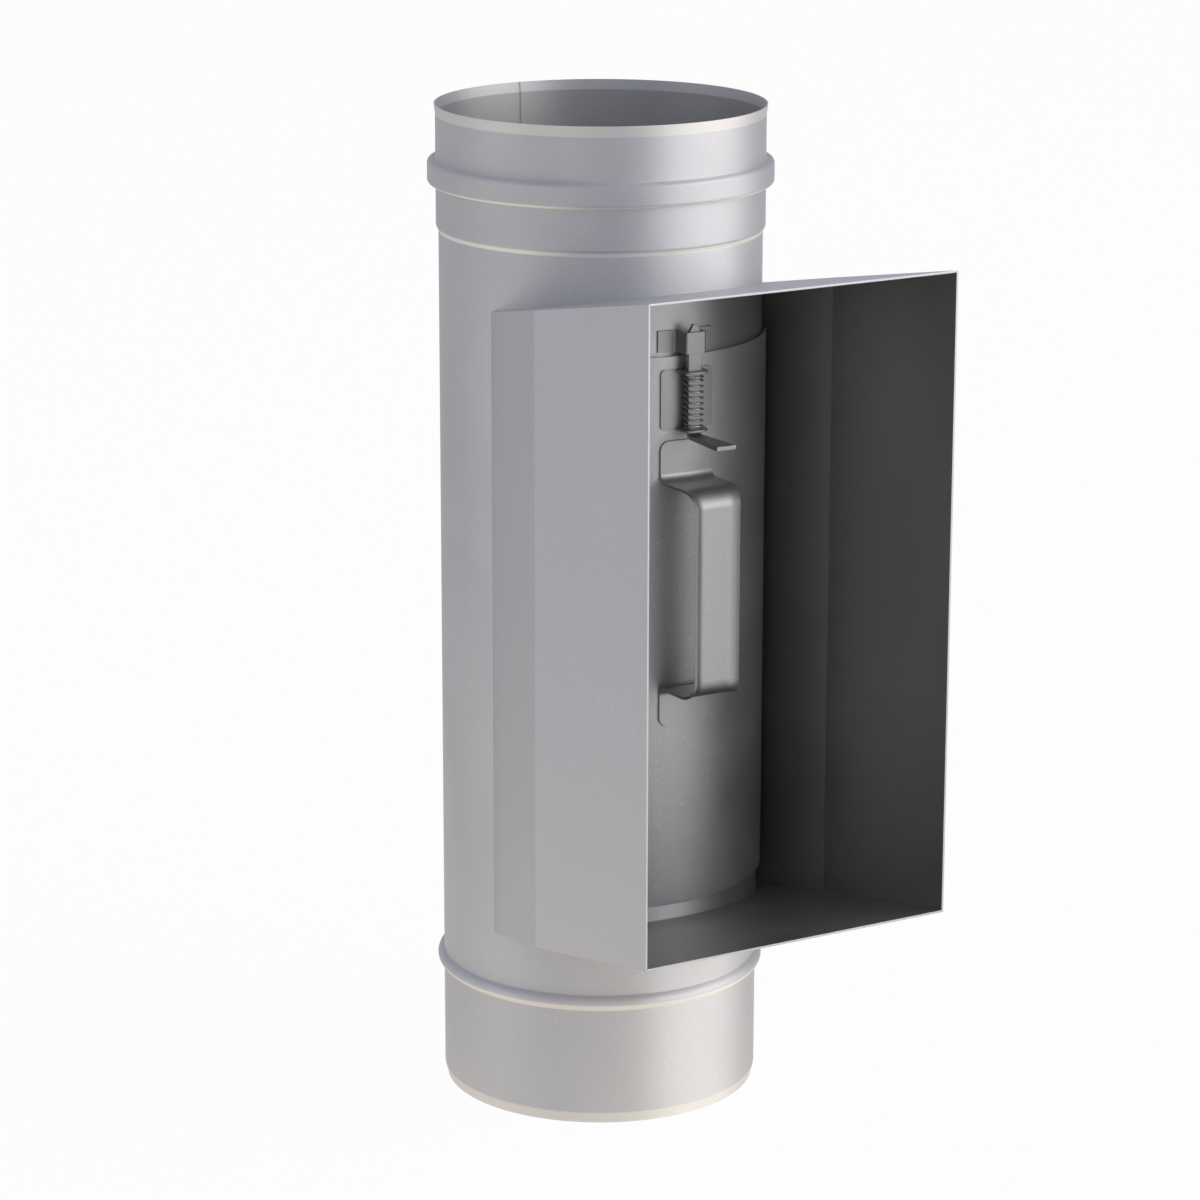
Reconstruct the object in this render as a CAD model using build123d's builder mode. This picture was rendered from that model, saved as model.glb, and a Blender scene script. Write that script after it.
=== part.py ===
"""Flue inspection section: a plug-in flue tube with an access box and a latched cover.

The tube stands on its axis, +Z towards the socket.  The origin lies on the axis in the
plane where the stop bead sits on the pipe below, and the access box opens towards -Y.
All sizes are in millimetres.
"""

import os
from math import cos, degrees, hypot, radians, sin, tan

from build123d import *

os.makedirs("parts", exist_ok=True)

# Flue tube, from the foot of the spigot to the rim of the socket
bore_radius = 75.0
tube_wall = 0.6
tube_radius = bore_radius + tube_wall
spigot_length = 57.2
working_length = 418.2
lead_in_height = 5.5
lead_in_depth = 1.3
lead_in_bend = 4.0

# Stop bead, rolled outwards where the spigot ends
stop_bead_height = 7.1
stop_bead_proud = 3.0

# Socket: a stepped collar with a seal groove and a lip that flares at the rim
socket_clearance = 0.6
socket_radius = tube_radius + socket_clearance + tube_wall
socket_depth = 59.0
step_height = 2.6
step_bend = 2.0
groove_proud = 3.9
groove_height = 11.1
groove_from_rim = 25.7
groove_corner = 1.9
groove_root = 0.7
lip_flare = 0.6
lip_height = 4.8
lip_bend = 6.0

# Inspection opening and the curved cover over it
cover_bottom = 50.8
cover_height = 262.0
cover_half_angle = 64.0
cover_thickness = 0.8
cover_corner = 9.0
gasket_thickness = 1.2
gasket_inset = 1.0
opening_overlap = 12.0
opening_corner = 8.0

# Access box of sheet, with walls that close in on the tube at the back
box_sheet = 1.0
box_half_width = 79.7
box_depth = 175.7
box_bend_depth = 77.6
box_contact_angle = 71.7
box_floor_at_tube = 42.1
box_height = 298.5
box_slope = 11.0

# Spring latch: a flat bolt that slides in the two ears of a bracket
bracket_half_width = 13.5
bracket_sheet = 1.0
bracket_corner = 2.0
bracket_below_cover_top = 6.0
ear_spacing = 28.0
ear_width = 13.0
ear_corner = 5.0
ear_margin = 0.8
bolt_thickness = 2.0
bolt_width = 6.5
bolt_tab_width = 10.1
bolt_tip_width = 1.6
bolt_tip_height = 4.2
bolt_tip_reach = 3.4
bolt_tab_reach = 28.5
bolt_bend = 1.4
shoulder_width = 8.8
shoulder_height = 1.0
shoulder_gap = 0.3
slide_clearance = 0.15
stop_clearance = 0.3
spring_wire = 0.9
spring_mean_radius = 4.2
spring_turns = 10.0
spring_gap = 0.2

# Keeper: a hat-shaped strap on the tube that holds the bolt's tip
keeper_sheet = 1.0
keeper_height = 10.0
keeper_above_cover = 1.8
keeper_half_width = 14.0
keeper_bridge_half_width = 5.45
keeper_clearance = 0.25
keeper_bend = 1.4

# Pressed strap handle: flat at its feet and arms, its edges rolled forwards along the grip
handle_sheet = 1.2
handle_below_bracket = 23.5
handle_span = 98.4
handle_standoff = 26.5
handle_half_width = 13.7
handle_bend = 9.0
handle_root_bend = 3.6
handle_flat_half_width = 6.5
handle_roll_length = 5.4
handle_roll_angle = 54.0
handle_crown = 1.0
handle_foot_height = 18.5
handle_foot_corner = 4.5

# Hooks behind the cover's lower edge
hook_sheet = 1.2
hook_angle = 28.0
hook_half_width = 6.0
hook_clearance = 0.4
hook_reach = 8.0
hook_leg = 15.0
hook_jog = 2.4
hook_lift = 2.2

# How far a cut, or an outline that is trimmed later, runs on past the sheet
cut_overrun = 3.0
box_overrun = 9.0

# How near the handle's arm and foot an edge lies that belongs to the bend between them
root_reach = 0.2

# Places that follow from the sizes above
stop_bead_top = stop_bead_height
step_top = working_length - socket_depth + step_height
groove_top = working_length - groove_from_rim
groove_bottom = groove_top - groove_height
cover_top = cover_bottom + cover_height
opening_bottom = cover_bottom + opening_overlap
opening_top = cover_top - opening_overlap
cover_inner = tube_radius + gasket_thickness
cover_outer = cover_inner + cover_thickness
opening_half_angle = cover_half_angle - degrees(opening_overlap / tube_radius)
bracket_outer = cover_outer + bracket_sheet
spring_outer_radius = spring_mean_radius + spring_wire / 2
bolt_plane = bracket_outer + spring_gap + spring_outer_radius
bolt_front = bolt_plane + bolt_thickness / 2
ear_front = bolt_plane + spring_outer_radius + ear_margin
bracket_top = cover_top - bracket_below_cover_top
bracket_bottom = bracket_top - ear_spacing
spring_bottom = bracket_bottom + bracket_sheet
shoulder_top = bracket_top - bracket_sheet - shoulder_gap
spring_top = shoulder_top - shoulder_height
keeper_bottom = cover_top + keeper_above_cover
keeper_top = keeper_bottom + keeper_height
keeper_inner = bolt_front + keeper_clearance
keeper_front = keeper_inner + keeper_sheet
handle_top = bracket_bottom - handle_below_bracket
handle_bottom = handle_top - handle_span
handle_front = cover_outer + handle_standoff


def curved_plate(inner_radius, thickness, half_angle, bottom, top, corner=0.0, middle=-90.0):
    """Sheet bent to a radius about the tube's axis, with its four corners rounded."""
    with BuildPart() as plate:
        with BuildSketch(Plane.XY.offset(bottom)):
            with BuildLine():
                inner = CenterArc((0, 0), inner_radius, middle - half_angle, 2 * half_angle)
                outer = CenterArc((0, 0), inner_radius + thickness, middle - half_angle, 2 * half_angle)
                Line(inner @ 0, outer @ 0)
                Line(inner @ 1, outer @ 1)
            make_face()
        extrude(amount=top - bottom)
        if corner:
            radial_edges = plate.edges().filter_by(GeomType.LINE).filter_by(Axis.Z, reverse=True)
            fillet(radial_edges, corner)
    return plate.part


def arc_angle(width, radius):
    """Angle in degrees that a width along the arc takes up at a radius."""
    return degrees(width / radius)


# Flue tube: the wall is drawn a little too long and trimmed square at both ends
with BuildPart() as flue_tube:
    with BuildSketch(Plane.XZ):
        with BuildLine():
            lead_in_slope = lead_in_depth / lead_in_height
            lip_slope = lip_flare / lip_height
            step_bottom = step_top - step_height
            spigot = FilletPolyline(
                (tube_radius - lead_in_depth - cut_overrun * lead_in_slope, -spigot_length - cut_overrun),
                (tube_radius, lead_in_height - spigot_length),
                (tube_radius, 0),
                radius=lead_in_bend,
            )
            bead_crest = (tube_radius + stop_bead_proud, stop_bead_height / 2)
            bead = ThreePointArc(spigot @ 1, bead_crest, (tube_radius, stop_bead_top))
            groove_radius = socket_radius + groove_proud
            FilletPolyline(
                bead @ 1,
                (tube_radius, step_bottom),
                (socket_radius, step_top),
                (socket_radius, groove_bottom),
                (groove_radius, groove_bottom),
                (groove_radius, groove_top),
                (socket_radius, groove_top),
                (socket_radius, working_length - lip_height),
                (socket_radius + lip_flare + cut_overrun * lip_slope, working_length + cut_overrun),
                radius=[
                    step_bend,
                    step_bend,
                    groove_root,
                    groove_corner,
                    groove_corner,
                    groove_root,
                    lip_bend,
                ],
            )
            offset(amount=tube_wall, side=Side.LEFT)
        make_face()
    revolve(axis=Axis.Z)
    split(bisect_by=Plane.XY.offset(-spigot_length), keep=Keep.TOP)
    split(bisect_by=Plane.XY.offset(working_length), keep=Keep.BOTTOM)
    add(
        curved_plate(
            bore_radius - cut_overrun,
            tube_wall + 2 * cut_overrun,
            opening_half_angle,
            opening_bottom,
            opening_top,
            opening_corner,
        ),
        mode=Mode.SUBTRACT,
    )
flue_tube.part.label = "flue_tube"

# Plan of the access box: its outer outline runs on past the front and into the tube
contact_x = tube_radius * sin(radians(box_contact_angle))
contact_y = -tube_radius * cos(radians(box_contact_angle))
beyond_front = -box_depth - box_overrun
facet_x = (contact_x - box_half_width) / (contact_y + box_bend_depth)
inside_tube_y = contact_y + box_overrun
inside_tube_x = contact_x + facet_x * (inside_tube_y - contact_y)
with BuildSketch() as box_outline:
    Polygon(
        (box_half_width, beyond_front),
        (box_half_width, -box_bend_depth),
        (inside_tube_x, inside_tube_y),
        (-inside_tube_x, inside_tube_y),
        (-box_half_width, -box_bend_depth),
        (-box_half_width, beyond_front),
        align=None,
    )

# Sloping planes of the box, each through the front of the tube and rising towards the room
slope_normal = (0, tan(radians(box_slope)), 1)
box_roof_at_tube = box_floor_at_tube + box_height
box_roof_at_front = box_roof_at_tube + (box_depth - tube_radius) * tan(radians(box_slope))
front_plane = Plane(origin=(0, -box_depth, 0), z_dir=(0, -1, 0))
contact_plane = Plane(origin=(0, contact_y, 0), z_dir=(0, 1, 0))


def sloped_plane(height_at_tube):
    """Plane that crosses the front of the tube at a height and rises towards the box's front."""
    return Plane(origin=(0, -tube_radius, height_at_tube), z_dir=slope_normal)


# Left wall of the box, folded once where it turns in towards the tube
with BuildPart() as box_left_wall:
    with BuildSketch():
        add(box_outline.sketch)
        offset(box_outline.sketch, amount=-box_sheet, mode=Mode.SUBTRACT)
        Circle(tube_radius, mode=Mode.SUBTRACT)
    extrude(amount=box_roof_at_front + box_overrun)
    split(bisect_by=Plane.YZ, keep=Keep.BOTTOM)
    split(bisect_by=contact_plane, keep=Keep.BOTTOM)
    split(bisect_by=sloped_plane(box_floor_at_tube), keep=Keep.TOP)
    split(bisect_by=sloped_plane(box_roof_at_tube), keep=Keep.BOTTOM)
    split(bisect_by=front_plane, keep=Keep.BOTTOM)
box_left_wall.part.label = "box_left_wall"

with BuildPart() as box_right_wall:
    mirror(box_left_wall.part, about=Plane.YZ)
box_right_wall.part.label = "box_right_wall"


def box_plate(lower_height_at_tube):
    """Sloping plate between the walls of the box, cut to the tube's curve."""
    with BuildPart() as plate:
        with BuildSketch():
            offset(box_outline.sketch, amount=-box_sheet)
            Circle(tube_radius, mode=Mode.SUBTRACT)
        extrude(amount=box_roof_at_front + box_overrun)
        split(bisect_by=contact_plane, keep=Keep.BOTTOM)
        split(bisect_by=sloped_plane(lower_height_at_tube), keep=Keep.TOP)
        upper_height_at_tube = lower_height_at_tube + box_sheet / cos(radians(box_slope))
        split(bisect_by=sloped_plane(upper_height_at_tube), keep=Keep.BOTTOM)
        split(bisect_by=front_plane, keep=Keep.BOTTOM)
    return plate.part


with BuildPart() as box_bottom_plate:
    add(box_plate(box_floor_at_tube))
box_bottom_plate.part.label = "box_bottom_plate"

with BuildPart() as box_top_plate:
    add(box_plate(box_roof_at_tube - box_sheet / cos(radians(box_slope))))
box_top_plate.part.label = "box_top_plate"

# Cover and its flat gasket
with BuildPart() as cover_sheet:
    add(curved_plate(cover_inner, cover_thickness, cover_half_angle, cover_bottom, cover_top, cover_corner))
cover_sheet.part.label = "cover_sheet"

with BuildPart() as cover_gasket:
    inset_angle = arc_angle(gasket_inset, tube_radius)
    add(
        curved_plate(
            tube_radius,
            gasket_thickness,
            cover_half_angle - inset_angle,
            cover_bottom + gasket_inset,
            cover_top - gasket_inset,
            cover_corner - gasket_inset,
        )
    )
    add(
        curved_plate(
            tube_radius - cut_overrun,
            gasket_thickness + 2 * cut_overrun,
            opening_half_angle + inset_angle,
            opening_bottom - gasket_inset,
            opening_top + gasket_inset,
            opening_corner + gasket_inset,
        ),
        mode=Mode.SUBTRACT,
    )
cover_gasket.part.label = "cover_gasket"


def cover_hook(middle):
    """Jogged strip from the inside of the cover to behind the tube's wall."""
    half_angle = arc_angle(hook_half_width, cover_inner)
    leg_outer = bore_radius - hook_clearance
    jog_bottom = opening_bottom + hook_lift
    jog_top = jog_bottom + hook_jog
    start = radians(middle - half_angle)
    side_plane = Plane(
        origin=(0, 0, 0), x_dir=(cos(start), sin(start), 0), z_dir=(sin(start), -cos(start), 0)
    )
    with BuildPart() as hook:
        with BuildSketch(side_plane):
            with BuildLine():
                Polyline(
                    (cover_inner, jog_top + hook_leg),
                    (cover_inner, jog_top),
                    (leg_outer, jog_bottom),
                    (leg_outer, opening_bottom - hook_reach),
                    (leg_outer - hook_sheet, opening_bottom - hook_reach),
                    (leg_outer - hook_sheet, jog_bottom + hook_sheet / 2),
                    (cover_inner - hook_sheet, jog_top + hook_sheet / 2),
                    (cover_inner - hook_sheet, jog_top + hook_leg),
                    close=True,
                )
            make_face()
        revolve(axis=Axis.Z, revolution_arc=2 * half_angle)
    return hook.part


with BuildPart() as cover_hook_left:
    add(cover_hook(-90 - hook_angle))
cover_hook_left.part.label = "cover_hook_left"

with BuildPart() as cover_hook_right:
    add(cover_hook(-90 + hook_angle))
cover_hook_right.part.label = "cover_hook_right"

# Keeper strap, made as a hat section in plan and drawn up to the strip's height
with BuildPart() as keeper_strap:
    add(
        curved_plate(
            tube_radius,
            keeper_sheet,
            arc_angle(keeper_half_width, tube_radius),
            keeper_bottom,
            keeper_top,
        )
    )
    with BuildSketch(Plane.XY.offset(keeper_bottom)):
        with Locations((0, -keeper_front)):
            bridge = Rectangle(
                2 * keeper_bridge_half_width,
                keeper_front - tube_radius,
                align=(Align.CENTER, Align.MIN),
            )
        fillet(bridge.vertices().group_by(Axis.Y)[0], keeper_bend)
    extrude(amount=keeper_height)
    with BuildSketch(Plane.XY.offset(keeper_bottom)):
        with Locations((0, -keeper_inner)):
            Rectangle(
                2 * (keeper_bridge_half_width - keeper_sheet),
                keeper_inner - tube_radius + cut_overrun,
                align=(Align.CENTER, Align.MIN),
            )
    extrude(amount=keeper_height, mode=Mode.SUBTRACT)
    with BuildSketch(Plane.XY.offset(keeper_bottom)):
        Circle(tube_radius)
    extrude(amount=keeper_height, mode=Mode.SUBTRACT)
keeper_strap.part.label = "keeper_strap"

# Latch bracket: base on the cover with two ears, each slotted for the bolt
with BuildPart() as latch_bracket:
    add(
        curved_plate(
            cover_outer,
            bracket_sheet,
            arc_angle(bracket_half_width, cover_outer),
            bracket_bottom,
            bracket_top,
            bracket_corner,
        )
    )
    for ear_bottom in (bracket_bottom, bracket_top - bracket_sheet):
        with BuildSketch(Plane.XY.offset(ear_bottom)):
            with Locations((0, -ear_front)):
                ear = Rectangle(ear_width, ear_front - cover_outer, align=(Align.CENTER, Align.MIN))
            fillet(ear.vertices().group_by(Axis.Y)[0], ear_corner)
            Circle(cover_outer, mode=Mode.SUBTRACT)
            with Locations((0, -bolt_plane)):
                Rectangle(
                    bolt_width + 2 * slide_clearance,
                    bolt_thickness + 2 * slide_clearance,
                    mode=Mode.SUBTRACT,
                )
        extrude(amount=bracket_sheet)
latch_bracket.part.label = "latch_bracket"

# Latch bolt: the strip is bent in side view, then blanked to its outline in front view and
# narrowed in plan from the tab's end to the bend.  Its shoulders press on the spring.
with BuildPart() as latch_bolt:
    tip_top = keeper_top + bolt_tip_reach
    bend_top = bracket_bottom - stop_clearance
    tab_top = bend_top - bolt_bend
    tab_end = bolt_plane + bolt_tab_reach
    below_tab = tab_top - bolt_thickness - cut_overrun
    with BuildSketch(Plane.YZ):
        with BuildLine():
            FilletPolyline(
                (-bolt_front, tip_top),
                (-bolt_front, tab_top),
                (-tab_end, tab_top),
                radius=bolt_bend,
            )
            offset(amount=bolt_thickness, side=Side.LEFT)
        make_face()
    extrude(amount=bolt_tab_width / 2, both=True)
    with BuildSketch(Plane.XZ):
        with BuildLine():
            half_outline = Polyline(
                (0, tip_top),
                (bolt_tip_width / 2, tip_top),
                (bolt_width / 2, tip_top - bolt_tip_height),
                (bolt_width / 2, shoulder_top),
                (shoulder_width / 2, shoulder_top),
                (shoulder_width / 2, spring_top),
                (bolt_width / 2, spring_top),
                (bolt_width / 2, bend_top),
                (bolt_tab_width / 2, bend_top),
                (bolt_tab_width / 2, below_tab),
                (0, below_tab),
            )
            mirror(half_outline, about=Plane.YZ)
        make_face()
    extrude(amount=tab_end + cut_overrun, mode=Mode.INTERSECT)
    with BuildSketch(Plane.XY.offset(below_tab)):
        beside_tab = bolt_tab_width / 2 + cut_overrun
        behind_bolt = -bolt_plane + cut_overrun
        wedge = Polygon(
            (bolt_width / 2, behind_bolt),
            (bolt_width / 2, -bolt_front),
            (bolt_tab_width / 2, -tab_end),
            (beside_tab, -tab_end),
            (beside_tab, behind_bolt),
            align=None,
        )
        mirror(wedge, about=Plane.YZ)
    extrude(amount=bend_top - below_tab, mode=Mode.SUBTRACT)
latch_bolt.part.label = "latch_bolt"

# Latch spring, its end turns ground flat on the ear and under the bolt's shoulders
with BuildPart() as latch_spring:
    spring_length = spring_top - spring_bottom
    with BuildLine() as coil:
        Helix(
            pitch=spring_length / spring_turns,
            height=spring_length,
            radius=spring_mean_radius,
            center=(0, -bolt_plane, spring_bottom),
            lefthand=True,
        )
    with BuildSketch(Plane(origin=coil.line @ 0, z_dir=coil.line % 0)):
        Circle(spring_wire / 2)
    sweep(is_frenet=True)
    split(bisect_by=Plane.XY.offset(spring_bottom), keep=Keep.TOP)
    split(bisect_by=Plane.XY.offset(spring_top), keep=Keep.BOTTOM)
latch_spring.part.label = "latch_spring"



def strap_section(plane, edge_length, edge_angle):
    """Section across the strap: a flat middle and two edges that curve forwards."""
    edge_radius = edge_length / radians(edge_angle)
    back_radius = edge_radius + handle_sheet
    left, right = (-handle_flat_half_width, edge_radius), (handle_flat_half_width, edge_radius)
    with BuildSketch(plane) as section:
        with BuildLine():
            front_right = CenterArc(right, edge_radius, -90, edge_angle)
            front_left = CenterArc(left, edge_radius, -90 - edge_angle, edge_angle)
            back_right = CenterArc(right, back_radius, -90, edge_angle)
            back_left = CenterArc(left, back_radius, -90 - edge_angle, edge_angle)
            Line(front_left @ 1, front_right @ 0)
            Line(back_left @ 1, back_right @ 0)
            Line(front_right @ 1, back_right @ 1)
            Line(front_left @ 0, back_left @ 0)
        make_face()
    return section.sketch


def bend_section(share, arm_height, side):
    """Section at a share of the way round a bend, from the arm (0) to the grip (1).

    The side is 1 for the upper bend and -1 for the lower one.
    """
    turn = radians(90 * share)
    ease = share**2 * (3 - 2 * share)
    arm_edge = handle_half_width - handle_flat_half_width
    plane = Plane(
        origin=(
            0,
            handle_bend - handle_front - handle_bend * sin(turn),
            arm_height - side * handle_bend * (1 - cos(turn)),
        ),
        x_dir=(1, 0, 0),
        z_dir=(0, -side * cos(turn), -sin(turn)),
    )
    return strap_section(
        plane,
        arm_edge + (handle_roll_length - arm_edge) * ease,
        handle_crown + (handle_roll_angle - handle_crown) * ease,
    )


# Handle: each bend is lofted from the flat arm to the rolled grip, and both ends turn into a foot
with BuildPart() as carry_handle:
    arm_length = handle_front - handle_bend - cover_outer
    for arm_height, side in ((handle_top, 1), (handle_bottom, -1)):
        loft(sections=[bend_section(share / 4, arm_height, side) for share in range(5)])
        extrude(bend_section(0, arm_height, side), amount=-side * arm_length)
    extrude(bend_section(1, handle_top, 1), amount=handle_span - 2 * handle_bend)
    foot_angle = arc_angle(handle_half_width, cover_outer)
    foot_length = handle_foot_height + handle_sheet
    for foot_bottom, far_end in (
        (handle_top - handle_sheet, -1),
        (handle_bottom - handle_foot_height, 0),
    ):
        with BuildPart(mode=Mode.PRIVATE) as foot:
            add(curved_plate(cover_outer, handle_sheet, foot_angle, foot_bottom, foot_bottom + foot_length))
            ends = foot.edges().filter_by(GeomType.LINE).filter_by(Axis.Z, reverse=True)
            fillet(ends.group_by(Axis.Z)[far_end], handle_foot_corner)
        add(foot.part)
    with BuildSketch(Plane.XY.offset(cover_bottom)):
        Circle(cover_outer)
    extrude(amount=cover_height, mode=Mode.SUBTRACT)
    skin_radius = cover_outer + handle_sheet
    for arm_height in (handle_top, handle_bottom):
        level = (arm_height - root_reach, arm_height + root_reach)
        root_edges = carry_handle.edges().filter_by_position(Axis.Z, *level)
        root_edges = root_edges.filter_by(
            lambda edge: abs(hypot((edge @ 0.5).X, (edge @ 0.5).Y) - skin_radius) < root_reach
        )
        fillet(root_edges, handle_root_bend)
carry_handle.part.label = "carry_handle"

export_step(flue_tube.part, "parts/flue_tube.step")
export_step(box_left_wall.part, "parts/box_left_wall.step")
export_step(box_right_wall.part, "parts/box_right_wall.step")
export_step(box_top_plate.part, "parts/box_top_plate.step")
export_step(box_bottom_plate.part, "parts/box_bottom_plate.step")
export_step(cover_sheet.part, "parts/cover_sheet.step")
export_step(cover_gasket.part, "parts/cover_gasket.step")
export_step(cover_hook_left.part, "parts/cover_hook_left.step")
export_step(cover_hook_right.part, "parts/cover_hook_right.step")
export_step(keeper_strap.part, "parts/keeper_strap.step")
export_step(latch_bracket.part, "parts/latch_bracket.step")
export_step(latch_bolt.part, "parts/latch_bolt.step")
export_step(latch_spring.part, "parts/latch_spring.step")
export_step(carry_handle.part, "parts/carry_handle.step")
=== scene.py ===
"""Looks of the flue inspection section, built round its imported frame.

Every piece is drawn in millimetres in the part's own frame: the origin lies on the flue's
axis where the stop bead sits on the pipe below, +Z points to the socket and the access box
opens towards -Y.
"""

import logging
import math
from dataclasses import dataclass, field
from enum import Enum
from typing import Any, Callable, Sequence

import bpy
from mathutils import Matrix, Vector

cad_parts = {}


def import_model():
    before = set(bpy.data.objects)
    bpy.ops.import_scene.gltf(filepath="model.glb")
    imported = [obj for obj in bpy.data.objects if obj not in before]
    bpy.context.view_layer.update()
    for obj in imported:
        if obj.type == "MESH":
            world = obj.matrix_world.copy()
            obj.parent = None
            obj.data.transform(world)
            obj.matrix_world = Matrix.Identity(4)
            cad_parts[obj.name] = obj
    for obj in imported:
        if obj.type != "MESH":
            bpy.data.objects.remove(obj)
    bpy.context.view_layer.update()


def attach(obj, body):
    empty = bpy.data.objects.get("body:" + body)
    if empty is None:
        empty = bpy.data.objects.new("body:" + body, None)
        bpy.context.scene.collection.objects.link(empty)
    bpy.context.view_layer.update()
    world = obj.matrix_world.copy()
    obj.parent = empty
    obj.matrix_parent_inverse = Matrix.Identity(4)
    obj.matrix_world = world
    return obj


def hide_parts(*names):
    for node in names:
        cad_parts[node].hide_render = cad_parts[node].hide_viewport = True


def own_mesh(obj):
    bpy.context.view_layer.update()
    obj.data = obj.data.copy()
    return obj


LOG = logging.getLogger("flue_section")
MM = 0.001

# Rounding of the sheets' cut edges, in millimetres
CUT_EDGE = 0.16
# Angles between faces from which an edge is rounded, and from which it is shaded as sharp
ROUNDED_FROM_DEG = 38.0
SHARP_FROM_DEG = 50.0
# Flats in the rounded corner of a plate
CORNER_FLATS = 9
# How far a cutter reaches past the sheet on each side, in millimetres
CUTTER_MARGIN = 3.0
# The span that most values of a noise field lie in
NOISE_LOW, NOISE_HIGH = 0.3, 0.7

Colour = tuple[float, float, float]
Socket = bpy.types.NodeSocket


class Body(Enum):
    """The moving bodies of the part."""

    FLUE = "flue"
    BOLT = "bolt"


class Slot(Enum):
    """The material slots of the record."""

    STAINLESS = "stainless_sheet"
    BOX = "box_sheet"
    FITTINGS = "fittings_steel"
    SPRING = "spring_steel"
    GASKET = "gasket_fibre"


class Coat(Enum):
    """The finishes that the pieces wear."""

    TUBE = "tube"
    COVER = "cover"
    WALL = "wall"
    PLATE = "plate"
    LATCH = "latch"
    HANDLE = "handle"
    SPRING = "spring"
    GASKET = "gasket"


class Growth(Enum):
    """The side of a drawn line on which the sheet's other skin lies."""

    LEFT = 1.0
    RIGHT = -1.0


class Axis(Enum):
    """The axes of the part's frame."""

    X = 0
    Y = 1
    Z = 2


@dataclass(frozen=True)
class Corner:
    """A corner of a drawn line and the radius that rounds it, in millimetres."""

    x: float
    y: float
    radius: float = 0.0

    @property
    def point(self) -> Vector:
        """The corner as a 2-D point."""
        return Vector((self.x, self.y))


@dataclass
class SheetLine:
    """One skin of a bent sheet seen on edge, with the way to its other skin at each point."""

    points: list[Vector] = field(default_factory=list)
    growth: list[Vector] = field(default_factory=list)

    def add(self, point: Vector, growth: Vector) -> None:
        """Adds one point unless the line already ends there.

        Args:
            point: The point on the drawn skin.
            growth: The way from it to the other skin.
        """
        if self.points and (self.points[-1] - point).length < 1e-5:
            return
        self.points.append(point)
        self.growth.append(growth)

    def run(self, corners: Sequence[Corner], side: Growth, step_deg: float = 9.0) -> "SheetLine":
        """Adds straights and rounded corners.

        Args:
            corners: The corners in order; the first and last are the ends.
            side: The side on which the other skin lies.
            step_deg: The largest turn between two points of a rounded corner.

        Returns:
            The line itself, so that runs can be chained.
        """

        def across(direction: Vector) -> Vector:
            """The way to the other skin from a straight that runs in a direction."""
            return Vector((-direction.y, direction.x)) * side.value

        for i, corner in enumerate(corners):
            here = corner.point
            before = (here - corners[i - 1].point).normalized() if i else None
            after = (corners[i + 1].point - here).normalized() if i + 1 < len(corners) else None
            if before is None or after is None:
                self.add(here, across(before or after))
                continue
            turn = math.atan2(before.x * after.y - before.y * after.x, before.dot(after))
            if corner.radius <= 0 or abs(turn) < 1e-4:
                one, two = across(before), across(after)
                self.add(here, (one + two) / (1 + one.dot(two)))
                continue
            inside = Vector((-before.y, before.x)) * math.copysign(1.0, turn)
            start = here - before * corner.radius * math.tan(abs(turn) / 2)
            centre = start + inside * corner.radius
            steps = max(2, math.ceil(abs(math.degrees(turn)) / step_deg))
            for k in range(steps + 1):
                spin = Matrix.Rotation(turn * k / steps, 2)
                self.add(centre - spin @ inside * corner.radius, across(spin @ before))
        return self

    def arc(
        self, centre: Vector, radius: float, start: float, end: float, outward: bool
    ) -> "SheetLine":
        """Adds an arc.

        Args:
            centre: Its centre.
            radius: Its radius.
            start: The angle that it starts at, in degrees.
            end: The angle that it ends at.
            outward: Whether the other skin lies away from the centre.

        Returns:
            The line itself.
        """
        steps = max(3, math.ceil(abs(end - start) / 9.0))
        for k in range(steps + 1):
            angle = math.radians(start + (end - start) * k / steps)
            ray = Vector((math.cos(angle), math.sin(angle)))
            self.add(centre + ray * radius, ray if outward else -ray)
        return self

    def skins(self, thickness: float) -> list[tuple[Vector, Vector]]:
        """The pairs of points on the drawn skin and on the other one."""
        return [(p, p + g * thickness) for p, g in zip(self.points, self.growth)]

    def section(self, thickness: float, edge: float) -> list[Vector]:
        """The sheet's closed cross-section with its two cut edges rounded.

        Args:
            thickness: The sheet's thickness.
            edge: The radius that takes off the corners of its cut edges.

        Returns:
            The points round the section.
        """
        pairs = self.skins(thickness)
        loop = [a for a, _ in pairs[1:-1]]
        far = [b for _, b in reversed(pairs[1:-1])]

        def cut_edge(end: int, near: int) -> list[Vector]:
            """The rounded cut edge at one end.

            Args:
                end: The number of the line's last point there.
                near: The number of the point next to it.

            Returns:
                The points from the drawn skin to the other one.
            """
            one, two = pairs[end]
            tangent = (self.points[end] - self.points[near]).normalized()
            across = (two - one).normalized()
            slant = edge * (1 - math.sqrt(0.5))
            return [
                one - tangent * edge,
                one - tangent * slant + across * slant,
                one + across * edge,
                two - across * edge,
                two - tangent * slant - across * slant,
                two - tangent * edge,
            ]

        return cut_edge(0, 1)[::-1] + loop + cut_edge(-1, -2) + far


def metres(point: Sequence[float]) -> Vector:
    """A point in metres from one in millimetres."""
    return Vector(point) * MM


def polar(radius: float, angle_deg: float, height: float) -> Vector:
    """A point at a radius, an angle from +X and a height, in millimetres."""
    angle = math.radians(angle_deg)
    return Vector((radius * math.cos(angle), radius * math.sin(angle), height))


@dataclass
class Station:
    """One cross-section of a strip: points across its front skin and across its back skin."""

    front: list[Vector]
    back: list[Vector]


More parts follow.
